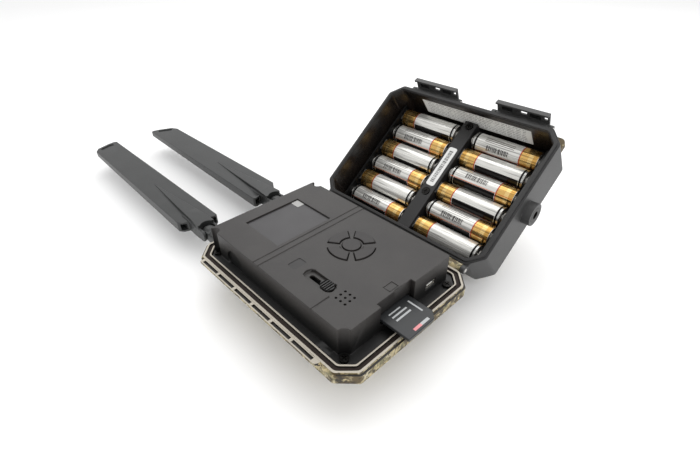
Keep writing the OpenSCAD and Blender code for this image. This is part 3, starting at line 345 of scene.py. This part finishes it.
def printedWrapper():
    # Shiny foil of an AA cell: gold end, red ring, white middle with a dark band, bars and fine rules
    material = newMaterial("printedFoilWrapper")
    wrap = add(material, "UVMap", {"uv_map": "wrap"}).outputs[0]
    directions = add(material, "SeparateXYZ", Vector=wrap)
    around, along = directions.outputs[0], directions.outputs[1]
    tone = add(material, "ValToRGB", {"interpolation": "CONSTANT", "stops": wrapParts["bands"]},
               Fac=along).outputs[0]
    band, bars, rules = wrapParts["dark_band"], wrapParts["bars"], wrapParts["rules"]
    tone = printOver(material, tone, "1d1b1a", (along, *band["along"]), (around, *band["around"]))
    tone = printOver(material, tone, "c9622f", (around, *wrapParts["orange_line"]))
    uneven = add(material, "TexNoise", {"noise_dimensions": "1D"}, W=along, Scale=bars["scale"], Detail=0.0)
    dark = add(material, "ValToRGB", {"interpolation": "CONSTANT", "stops": [(0.0, 1), (0.52, 0)]},
               Fac=uneven.outputs[0])
    tone = printOver(material, tone, "24211f", (along, *bars["along"]), (around, *bars["around"]),
                     dark.outputs[0])
    for turn in rules["turns"]:
        tone = printOver(material, tone, "6e6a66", (along, *rules["along"]), (around, turn, rules["reach"]))
    drawn = add(material, "VectorMath", {"operation": "MULTIPLY"}, i0=wrap, i1=wrapParts["streaks"])
    streaks = add(material, "TexNoise", Vector=drawn.outputs[0], Scale=1.0, Detail=3.0)
    gloss = add(material, "ValToRGB", {"stops": [(0.3, 0.16), (0.7, 0.3)]}, Fac=streaks.outputs[0])
    gleam = add(material, "ValToRGB", {"interpolation": "CONSTANT", "stops": wrapParts["metallic"]},
                Fac=along)
    relief = add(material, "Bump", Height=streaks.outputs[0], Strength=0.15, Distance=depthOf("foil_relief"))
    # Painted reflection: the colour darkens along the lengthwise streaks, standing in for the foil's streaked
    # reflections
    lines = add(material, "ValToRGB", {"stops": [(0.36, 0.42), (0.5, 1.0)]}, Fac=streaks.outputs[0])
    tone = add(material, "Mix", {"data_type": "RGBA", "blend_type": "MULTIPLY"}, i0=1.0, i6=tone,
               i7=lines.outputs[0]).outputs[2]
    shader = add(material, "BsdfPrincipled", Base_Color=tone, Metallic=gleam.outputs[0],
                 Roughness=gloss.outputs[0], Normal=relief.outputs[0])
    return finishMaterial(material, shader)


domeWhite = fresnelDome()
stickerPaper = stripedSticker()
wrapperFoil = printedWrapper()
paper = ruledPaper()
print("materials made")


def clear():
    if bpy.context.object and bpy.context.object.mode != "OBJECT":
        bpy.ops.object.mode_set(mode="OBJECT")
    bpy.ops.object.select_all(action="DESELECT")


def activate(piece):
    clear()
    piece.select_set(True)
    bpy.context.view_layer.objects.active = piece


def pick(piece, kind, test):
    # A new primitive is selected all over, so everything is deselected before faces or edges are picked
    bpy.ops.object.mode_set(mode="EDIT")
    bpy.ops.mesh.select_mode(type="FACE" if kind == "polygons" else "EDGE")
    bpy.ops.mesh.select_all(action="DESELECT")
    bpy.ops.object.mode_set(mode="OBJECT")
    for item in getattr(piece.data, kind):
        item.select = test(item)
    bpy.ops.object.mode_set(mode="EDIT")


def seat(piece, matrix):
    activate(piece)
    piece.matrix_world = matrix @ piece.matrix_world
    bpy.ops.object.transform_apply(location=True, rotation=True, scale=True)


def paint(piece, *materials):
    piece.data.materials.clear()
    for material in materials:
        piece.data.materials.append(material)


def paintWhere(piece, index, frameMatrix, test):
    # Gives a material to the faces that pass a test of their centre and normal, in millimetres in a frame
    back = frameMatrix.inverted()
    turn = back.to_3x3()
    for polygon in piece.data.polygons:
        centre = (back @ polygon.center) / millimetre
        if test(centre, turn @ polygon.normal):
            polygon.material_index = index


def applyModifier(piece, kind, **settings):
    activate(piece)
    modifier = piece.modifiers.new(kind.lower(), kind)
    for name, value in settings.items():
        setattr(modifier, name, value)
    bpy.ops.object.modifier_apply(modifier=modifier.name)


def finished(piece, name, material, body, angle=30):
    piece.name = name
    piece.data.name = name
    activate(piece)
    bpy.ops.object.shade_smooth_by_angle(angle=math.radians(angle))
    if material:
        paint(piece, material)
    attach(piece, body)
    return piece


def markOuterEdges(mesh, limit, spots):
    # Only convex edges are rounded, so a recess keeps its crisp foot. The openings at the spots stay sharp
    weights = mesh.attributes.new("bevel_weight_edge", "FLOAT", "EDGE")
    faces = {}
    for polygon in mesh.polygons:
        for key in polygon.edge_keys:
            faces.setdefault(key, []).append(polygon)
    least = math.cos(math.radians(limit))
    for edge in mesh.edges:
        pair = faces.get(edge.key, [])
        if len(pair) != 2 or pair[0].normal.dot(pair[1].normal) > least:
            continue
        a, b = pair
        place = (mesh.vertices[edge.vertices[0]].co - hingePoint) / millimetre
        if any(math.dist(place[:2], (x, y)) < reach for x, y, reach in spots):
            continue
        if (b.center - a.center).dot(a.normal) < 0 or (a.center - b.center).dot(b.normal) < 0:
            weights.data[edge.index].value = 1.0


# Places and reaches of openings that stay sharp, in millimetres from the hinge
sharpSpots = {"antenna_blade_1": ((-112, -88.45, 3), (-112, -75.35, 3)),
              "antenna_blade_2": ((-112, -29.65, 3), (-112, -16.55, 3)),
              "front_shell": ((70, -15.3, 5), (70, -92.7, 5)),
              "panel_housing": ((40.4, -78.2, 8), (51, -55.75, 6), (2.5, -78.7, 6), (-62, -50, 3))}
alongHinge = Vector((1, 0, 0))
fromHinge = Vector((0, 1, 0))
trayWalls = trayFrame.to_3x3() @ fromHinge
bladeSeams = ((alongHinge, (-123.5, -110, -99.4), None),)
# Planes through the openings, lugs and knuckles: their direction, places and the faces they are kept to
seams = {"battery_tray": ((alongHinge, (-59.2, -54.8, -46.8, -40.8), trayWalls), (alongHinge, (-30,), None),
                          (alongHinge, (-17.2, -14.2, 14.2, 17.2), trayWalls), (alongHinge, (30,), None),
                          (alongHinge, (40.8, 46.8, 54.8, 59.2), trayWalls)),
         "front_shell": ((alongHinge, (-61.4, -59, -47, -40.8, 40.8, 47, 51.3, 59, 61.4), None),),
         "antenna_blade_1": bladeSeams,
         "antenna_blade_2": bladeSeams,
         "panel_housing": ((alongHinge, (-55, -35, 11.5, 25, 40.4, 50.5), None),
                           (fromHinge, (-91, -81.5, -78.45, -74.9, -56.75, -45.4, -28.5), None))}
weldReach = 0.004 * millimetre


def cutSeam(piece, axis, place, walls):
    # A seam across an opening keeps the flat faces simple outlines
    if walls:
        bpy.ops.object.mode_set(mode="OBJECT")
        pick(piece, "polygons", lambda face: abs(face.normal.dot(walls)) > 0.9)
    else:
        bpy.ops.mesh.select_all(action="SELECT")
    bpy.ops.mesh.bisect(plane_co=hingePoint + axis * place * millimetre, plane_no=axis)
    bpy.ops.mesh.select_mode(type="EDGE")
    bpy.ops.mesh.mark_seam()


def softened(node, width, material, body, slot, limit=35):
    # A copy of a construction mesh with its outer edges rounded
    clear()
    piece = bpy.data.objects.new(node + "_soft", frame["nodes"][node].data.copy())
    bpy.context.scene.collection.objects.link(piece)
    activate(piece)
    bpy.ops.object.mode_set(mode="EDIT")
    bpy.ops.mesh.select_all(action="SELECT")
    bpy.ops.mesh.remove_doubles(threshold=weldReach)
    for axis, places, walls in seams.get(node, ()):
        for place in places:
            cutSeam(piece, axis, place, walls)
    bpy.ops.mesh.select_all(action="SELECT")
    bpy.ops.mesh.dissolve_limited(angle_limit=math.radians(0.5), delimit={"SEAM"})
    bpy.ops.object.mode_set(mode="OBJECT")
    markOuterEdges(piece.data, limit, sharpSpots.get(node, ()))
    applyModifier(piece, "BEVEL", width=width * millimetre, segments=2, limit_method="WEIGHT",
                  use_clamp_overlap=False)
    finished(piece, node + "_soft", material, body, limit - 5)
    applyModifier(piece, "WEIGHTED_NORMAL", keep_sharp=True, weight=100)
    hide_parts(node)
    return piece


# Widths of the rounded edges are in millimetres
caseParts = {"front_shell": (0.3, camoShell, "front_half", "camo_shell"),
             "panel_housing": (0.5, panelAbs, "front_half", "panel_plastic"),
             "battery_tray": (0.4, trayAbs, "tray", "tray_plastic"),
             "divider_bar": (0.5, barAbs, "tray", "tray_plastic"),
             "tree_bracket": (0.4, camoShell, "tray", "camo_shell"),
             "upper_latch": (0.25, latchAbs, "latch_upper", "latch_plastic"),
             "lower_latch": (0.25, latchAbs, "latch_lower", "latch_plastic"),
             "antenna_elbow_1": (0.5, bladeAbs, "elbow_1", "blade_plastic"),
             "antenna_elbow_2": (0.5, bladeAbs, "elbow_2", "blade_plastic"),
             "antenna_blade_1": (0.5, bladeAbs, "blade_1", "blade_plastic"),
             "antenna_blade_2": (0.5, bladeAbs, "blade_2", "blade_plastic"),
             "sd_card": (0.5, cardAbs, "card", "card_plastic"),
             "switch_knob": (0.25, knobAbs, "mode_knob", "knob_plastic")}
for key in ("ok", "up", "down", "left", "right"):
    caseParts["key_" + key] = (0.3, keyRubber, key + "_key", "key_rubber")
soft = {node: softened(node, *parts) for node, parts in caseParts.items()}
print("case parts softened")

# Outline of a half at the seam, and the parts of its inside that differ from the outside
halfSizes = {"half_l": 69.0, "half_w": 51.0, "cut": 9.0, "middle": 54.0}
insideParts = {"rim_z": (-0.8, 0.3), "rim_inset": -4.0, "rim_up": 0.3, "groove_z": -3.3, "groove_inset": 0.6,
               "ladder": ((-57.3, 50.8), (-107.5, -105.3), (-2.2, -0.7)), "wall_inset": 1.5,
               "hinge_side": -4.0, "edge_z": -0.9, "edge_inset": -1.0, "floor_up": 0.35}


def inset(x, y):
    # How far a point lies inside the outline of the case, measured from the middle of the half
    toEnd, toSide = halfSizes["half_l"] - abs(x), halfSizes["half_w"] - abs(y)
    return min(toEnd, toSide, (toEnd + toSide - halfSizes["cut"]) / math.sqrt(2))


def facesInward(x, y, normal):
    # True on a floor, and on a wall that looks toward the middle of its half
    return normal.z > insideParts["floor_up"] or normal.x * x + normal.y * y < -1


def bareRim(centre, normal):
    low, high = insideParts["rim_z"]
    onTop = low < centre.z < high and normal.z > insideParts["rim_up"]
    return onTop and inset(centre.x, centre.y + halfSizes["middle"]) > insideParts["rim_inset"]


def shellShadedInside(centre, normal):
    # Painted shade goes on the groove, the ladder cells and the walls that face the middle
    y = centre.y + halfSizes["middle"]
    deep = inset(centre.x, y)
    inLadder = all(low < value < high for value, (low, high) in zip(centre, insideParts["ladder"]))
    nearTop = centre.z > insideParts["groove_z"] and normal.z > -0.5
    if nearTop and (deep > insideParts["groove_inset"] or inLadder):
        return not bareRim(centre, normal)
    inWell = deep > insideParts["wall_inset"] and centre.y < insideParts["hinge_side"]
    return inWell and facesInward(centre.x, y, normal)


# Painted shade goes on the floor and the inward walls of the tray, below its edge
def trayShadedInside(centre, normal):
    y = centre.y - halfSizes["middle"]
    inWell = centre.z < insideParts["edge_z"] and inset(centre.x, y) > insideParts["wall_inset"]
    return inWell and facesInward(centre.x, y, normal)


def trayEdge(centre, normal):
    onTop = centre.z > insideParts["edge_z"] and normal.z > insideParts["rim_up"]
    return onTop and inset(centre.x, centre.y - halfSizes["middle"]) > insideParts["edge_inset"]


# The front half's inside is painted brown-black as shade, and its rim stays bare cream
paint(soft["front_shell"], camoShell, shellInnerPaintedShade, rimCream)
paintWhere(soft["front_shell"], 1, panelFrame, shellShadedInside)
paintWhere(soft["front_shell"], 2, panelFrame, bareRim)
# The tray's inside is painted darker as shade
paint(soft["battery_tray"], trayAbs, trayInnerPaintedShade, barAbs)
paintWhere(soft["battery_tray"], 1, trayFrame, trayShadedInside)
paintWhere(soft["battery_tray"], 2, trayFrame, trayEdge)

latchParts = {"places": {"upper_latch": -33.0, "lower_latch": 36.0}, "pin_y": 107.3, "pin_z": -5.2,
              "rest": 14.0, "length": 37.0, "pockets": ((-0.405, -0.195), (0.135, 0.345)),
              "depth": (1.5, 2.35), "height": (3.0, 6.9)}


def latchPocketShade(centre, normal):
    # Painted shade: black on the two pockets in the face toward the tray, their spans in latch lengths
    along = centre.x / latchParts["length"]
    inSpan = any(low < along < high for low, high in latchParts["pockets"])
    (near, far), (bottom, top) = latchParts["depth"], latchParts["height"]
    return inSpan and near < centre.y < far and bottom < centre.z < top


for node, x in latchParts["places"].items():
    pin = Vector((x, latchParts["pin_y"], latchParts["pin_z"])) * millimetre
    latchFrame = (trayFrame @ Matrix.Translation(pin)
                  @ Matrix.Rotation(math.radians(-latchParts["rest"]), 4, "X"))
    # The pocket faces are painted black as shade
    paint(soft[node], latchAbs, blackAbs)
    paintWhere(soft[node], 1, latchFrame, latchPocketShade)

# Construction meshes that are shown as they are
covers = ((sealRubber, ("rim_gasket",)),
          (blackAbs, ("display_module", "mode_switch_body", "speaker", "lens_hood", "lens_barrel")),
          (screenGlass, ("display_window",)),
          (lightLens, ("status_window",)),
          (boardGreen, ("main_board", "key_board", "image_sensor", "ir_led_board")),
          (boardBlack, ("contact_boards",)),
          (nickel, ("key_switches", "sd_socket", "usb_port", "hinge_pins", "latch_pins", "pir_sensor",
                    "contact_plates")),
          (blackOxide, ("housing_screws", "divider_screws", "bracket_screws", "tripod_insert")),
          (brassPlate, ("antenna_sockets",)),
          (windowTint, ("ir_window",)),
          (ledEpoxy, ("ir_leds",)),
          (domeWhite, ("pir_lens",)),
          (lensGlass, ("lens_glass",)))
for material, nodes in covers:
    for node in nodes:
        paint(frame["nodes"][node], material)

cellParts = {"radius": 7.1, "length": 50.5, "shoulder": 1.2, "edge": 0.5, "sides": 64,
             "positive_land": 1.0, "negative_land": 2.0, "crimp": 0.3, "crimp_depth": 0.25,
             "nub_land": 2.5, "nub_h": 1.45, "nub_edge": 0.3, "bare": (0.012, 0.966),
             "rows": 6, "pitch": 15.0, "first_y": 17.5, "z": -24.65, "left_x": -60.2, "right_x": 6.7,
             "bar_x0": -6.8, "bar_x1": 3.8, "plate": 0.4, "turn_forward": 81, "turn_back": -59,
             "rolls": (0, 14, -12, 6, -22, -6, 30, 8, -14, 18, 2, -30)}


def endFace(x):
    # Test for the flat end of a cell, at an X in millimetres
    return lambda face: abs(face.center.x - x * millimetre) < 1e-5 and abs(face.normal.x) > 0.9


def shapeEnd(piece, x, positive):
    # Rounded shoulder and crimped ring, and the nub on the positive end
    pick(piece, "polygons", endFace(x))
    bpy.ops.mesh.bevel(offset=cellParts["edge"] * millimetre, segments=3, affect="EDGES")
    bpy.ops.object.mode_set(mode="OBJECT")
    pick(piece, "polygons", endFace(x))
    land = cellParts["positive_land"] if positive else cellParts["negative_land"]
    bpy.ops.mesh.inset(thickness=land * millimetre)
    bpy.ops.mesh.inset(thickness=cellParts["crimp"] * millimetre,
                       depth=-cellParts["crimp_depth"] * millimetre)
    if positive:
        bpy.ops.mesh.inset(thickness=cellParts["nub_land"] * millimetre)
        rise = (cellParts["nub_h"] * millimetre, 0, 0)
        bpy.ops.mesh.extrude_region_move(TRANSFORM_OT_translate={"value": rise})
        bpy.ops.mesh.bevel(offset=cellParts["nub_edge"] * millimetre, segments=2, affect="EDGES")
    bpy.ops.mesh.select_all(action="DESELECT")
    bpy.ops.object.mode_set(mode="OBJECT")


def wrapRound(piece):
    # Unrolls the wrapper: turns around the cell across, cell lengths from the negative end along
    wrap = piece.data.uv_layers.new(name="wrap")
    length = cellParts["length"] * millimetre
    for polygon in piece.data.polygons:
        corners = [piece.data.vertices[index].co for index in polygon.vertices]
        turns = [math.atan2(corner.z, corner.y) / math.tau + 0.5 for corner in corners]
        overSeam = max(turns) - min(turns) > 0.5
        for loop, corner, turn in zip(polygon.loop_indices, corners, turns):
            wrap.data[loop].uv = (turn + 1 if overSeam and turn < 0.5 else turn, corner.x / length)
    return wrap


def aaCell(name, x, y, z, forward, roll):
    # Built along X from its negative end, wrapped, then turned to its place in the tray
    clear()
    body = cellParts["length"] - cellParts["shoulder"]
    bpy.ops.mesh.primitive_cylinder_add(vertices=cellParts["sides"], radius=cellParts["radius"] * millimetre,
                                        depth=body * millimetre, rotation=(0, math.radians(90), 0),
                                        location=(body / 2 * millimetre, 0, 0))
    piece = bpy.context.object
    bpy.ops.object.transform_apply(location=True, rotation=True, scale=True)
    shapeEnd(piece, body, True)
    shapeEnd(piece, 0.0, False)
    wrap = wrapRound(piece)
    facing = Matrix.Identity(4) if forward else Matrix.Rotation(math.pi, 4, "Z")
    start = x if forward else x + cellParts["length"]
    place = Matrix.Translation(Vector((start, y, z)) * millimetre)
    # The dark band is turned to the side toward the hinge, and each cell then rolls a little
    roll += cellParts["turn_forward"] if forward else cellParts["turn_back"]
    seat(piece, trayFrame @ place @ facing @ Matrix.Rotation(math.radians(roll), 4, "X"))
    finished(piece, name, None, "tray", 40)
    paint(piece, wrapperFoil, nickel)
    bareStart, bareEnd = cellParts["bare"]
    for polygon in piece.data.polygons:
        along = [wrap.data[loop].uv[1] for loop in polygon.loop_indices]
        if max(along) < bareStart or min(along) > bareEnd:
            polygon.material_index = 1
    return piece


def rowY(row):
    return cellParts["first_y"] + (cellParts["rows"] - row) * cellParts["pitch"]


# Six rows in two columns, and the cells of a column point to either side in turn
for number, roll in enumerate(cellParts["rolls"], 1):
    row = (number - 1) % cellParts["rows"] + 1
    left = number <= cellParts["rows"]
    forward = (row % 2 == 0) == left
    if left:
        atBar = cellParts["bar_x0"] - cellParts["plate"] - cellParts["length"]
        x = atBar if forward else cellParts["left_x"]
    else:
        x = cellParts["right_x"] if forward else cellParts["bar_x1"] + cellParts["plate"]
    cell = aaCell("aa_cell_%d" % number, x, rowY(row), cellParts["z"], forward, roll)
    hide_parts("cell_%d" % number)
print("cells made")

coilParts = {"wire": 0.32, "radius": 4.1, "height": 2.9, "turns": 3, "steps": 24, "sides": 8,
             "left": -60.6, "right": 57.6}


def coil(x, y, z, direction):
    # Contact spring of round wire, wound along the cell's axis
    clear()
    wire = coilParts["wire"]
    bpy.ops.mesh.primitive_circle_add(vertices=coilParts["sides"], radius=wire * millimetre,
                                      rotation=(math.radians(90), 0, 0),
                                      location=(coilParts["radius"] * millimetre, 0, wire * millimetre))
    piece = bpy.context.object
    bpy.ops.object.transform_apply(location=True, rotation=True, scale=True)
    steps = coilParts["steps"] * coilParts["turns"]
    applyModifier(piece, "SCREW", axis="Z", angle=math.tau * coilParts["turns"], steps=steps,
                  render_steps=steps, use_smooth_shade=True,
                  screw_offset=(coilParts["height"] - 2 * wire) * millimetre)
    seat(piece, trayFrame @ Matrix.Translation(Vector((x, y, z)) * millimetre)
         @ Matrix.Rotation(math.radians(90) * direction, 4, "Y"))
    return piece


coils = []
for row in range(1, cellParts["rows"] + 1):
    if row % 2:
        ends = ((cellParts["bar_x0"], -1), (cellParts["bar_x1"], 1))
    else:
        ends = ((coilParts["left"], 1), (coilParts["right"], -1))
    for x, direction in ends:
        coils.append(coil(x, rowY(row), cellParts["z"], direction))
clear()
for piece in coils:
    piece.select_set(True)
bpy.context.view_layer.objects.active = coils[0]
bpy.ops.object.join()
bpy.ops.object.mode_set(mode="EDIT")
bpy.ops.mesh.select_all(action="SELECT")
bpy.ops.mesh.normals_make_consistent(inside=False)
bpy.ops.object.mode_set(mode="OBJECT")
springs = finished(bpy.context.object, "contact_coils", nickel, "tray", 60)
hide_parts("contact_springs")
print("springs wound")


def plate(name, low, high, material, body, matrix, radius=0.0, slot=None):
    # Thin slab with rounded corners, given by its lowest and highest corners in millimetres
    clear()
    middle = [(a + b) / 2 * millimetre for a, b in zip(low, high)]
    bpy.ops.mesh.primitive_cube_add(size=1, location=middle)
    piece = bpy.context.object
    piece.scale = [(b - a) * millimetre for a, b in zip(low, high)]
    bpy.ops.object.transform_apply(location=True, rotation=True, scale=True)
    if radius:
        thin = min(range(3), key=lambda axis: high[axis] - low[axis])
        places = [vertex.co[thin] for vertex in piece.data.vertices]
        pick(piece, "edges", lambda edge: abs(places[edge.vertices[1]] - places[edge.vertices[0]]) > 1e-6)
        bpy.ops.mesh.bevel(offset=radius * millimetre, segments=5, affect="EDGES")
        bpy.ops.object.mode_set(mode="OBJECT")
    seat(piece, matrix)
    return finished(piece, name, material, body)


labelParts = {"sticker": ((-5.2, 45.2, -17.25), (1.6, 78.3, -17.13)),
              "wall": ((-43.6, 102.48, -22.5), (45.4, 102.6, -5.4)),
              "tab": ((-51.2, -41.0, 14.5), (-44.0, -35.4, 14.65)),
              "port": ((49.7, -31.2, 4.05), (56.6, -25.8, 4.9)),
              "card_top": 5.3, "ink": 0.06}
plate("bar_sticker", *labelParts["sticker"], stickerPaper, "tray", trayFrame, 1.6)
plate("wall_label", *labelParts["wall"], paper, "tray", trayFrame, 0.6)
# Plain bars and patches where the card's print would be
cardMarks = {"rule_1": ((57.2, -63.9), (58.0, -55.1), ink),
             "rule_2": ((59.6, -64.0), (60.6, -52.9), ink),
             "rule_3": ((62.2, -63.9), (63.3, -52.7), ink),
             "rule_4": ((57.6, -49.2), (67.4, -48.2), ink),
             "patch_white": ((71.9, -56.6), (73.6, -50.6), ink),
             "patch_pink": ((71.9, -62.2), (73.6, -56.6), pinkInk)}
for name, (low, high, shade) in cardMarks.items():
    plate("card_" + name, (*low, labelParts["card_top"]), (*high, labelParts["card_top"] + labelParts["ink"]),
          shade, "card", panelFrame)
# The tab's pale shade is partly a painted glint
plate("film_tab", *labelParts["tab"], filmTabGlint, "front_half", panelFrame, 0.5)
# The port tongue's white is partly a painted glint
plate("port_tongue", *labelParts["port"], portTongueGlint, "front_half", panelFrame, 0.2, "speaker_can")
print("labels placed")

cameraParts = {"place": (0.1554, -0.1331, 0.2010), "azimuth": 45.7, "elevation": 35.7, "lens": 22.387,
               "sensor": 36.0}
cameraData = bpy.data.cameras.new("camera")
cameraData.lens = cameraParts["lens"]
cameraData.sensor_width = cameraParts["sensor"]
camera = bpy.data.objects.new("camera", cameraData)
bpy.context.scene.collection.objects.link(camera)
camera.location = cameraParts["place"]
camera.rotation_euler = (math.radians(90 - cameraParts["elevation"]), 0, math.radians(cameraParts["azimuth"]))
bpy.context.scene.camera = camera

# White paper: a matt ground that takes a soft shadow
studioPaper = newMaterial("studioPaper")
paperPlace = add(studioPaper, "TexCoord").outputs["Object"]
fibres = add(studioPaper, "TexNoise", Vector=paperPlace, Scale=scaleOf("paper_fibre"), Detail=2.0)
paperRelief = add(studioPaper, "Bump", Height=fibres.outputs[0], Strength=0.03, Distance=depthOf("relief"))
finishMaterial(studioPaper, add(studioPaper, "BsdfPrincipled", Base_Color=colour("f6f6f6"), Roughness=0.7,
                                Normal=paperRelief.outputs[0]))
floorSize = 6
clear()
bpy.ops.mesh.primitive_plane_add(size=floorSize, location=(0, 0, 0))
floor = bpy.context.object
floor.name = "floor"
paint(floor, studioPaper)

lampParts = {"keyLight": {"place": (-0.25, 0.45, 0.95), "size": 1.3, "power": 7.0},
             "fillLight": {"place": (0.7, -0.5, 0.7), "size": 0.9, "power": 3.0}}
lampAim = Vector((0, 0.05, 0.03))
skyStrength = 0.93
world = bpy.data.worlds.new("studio")
world.use_nodes = True
world.node_tree.nodes["Background"].inputs[0].default_value = (1, 1, 1, 1)
world.node_tree.nodes["Background"].inputs[1].default_value = skyStrength
bpy.context.scene.world = world
for name, lamp in lampParts.items():
    lightData = bpy.data.lights.new(name, "AREA")
    lightData.size = lamp["size"]
    lightData.energy = lamp["power"]
    light = bpy.data.objects.new(name, lightData)
    bpy.context.scene.collection.objects.link(light)
    light.location = lamp["place"]
    light.rotation_euler = (lampAim - Vector(lamp["place"])).to_track_quat("-Z", "Y").to_euler()
print("studio set")
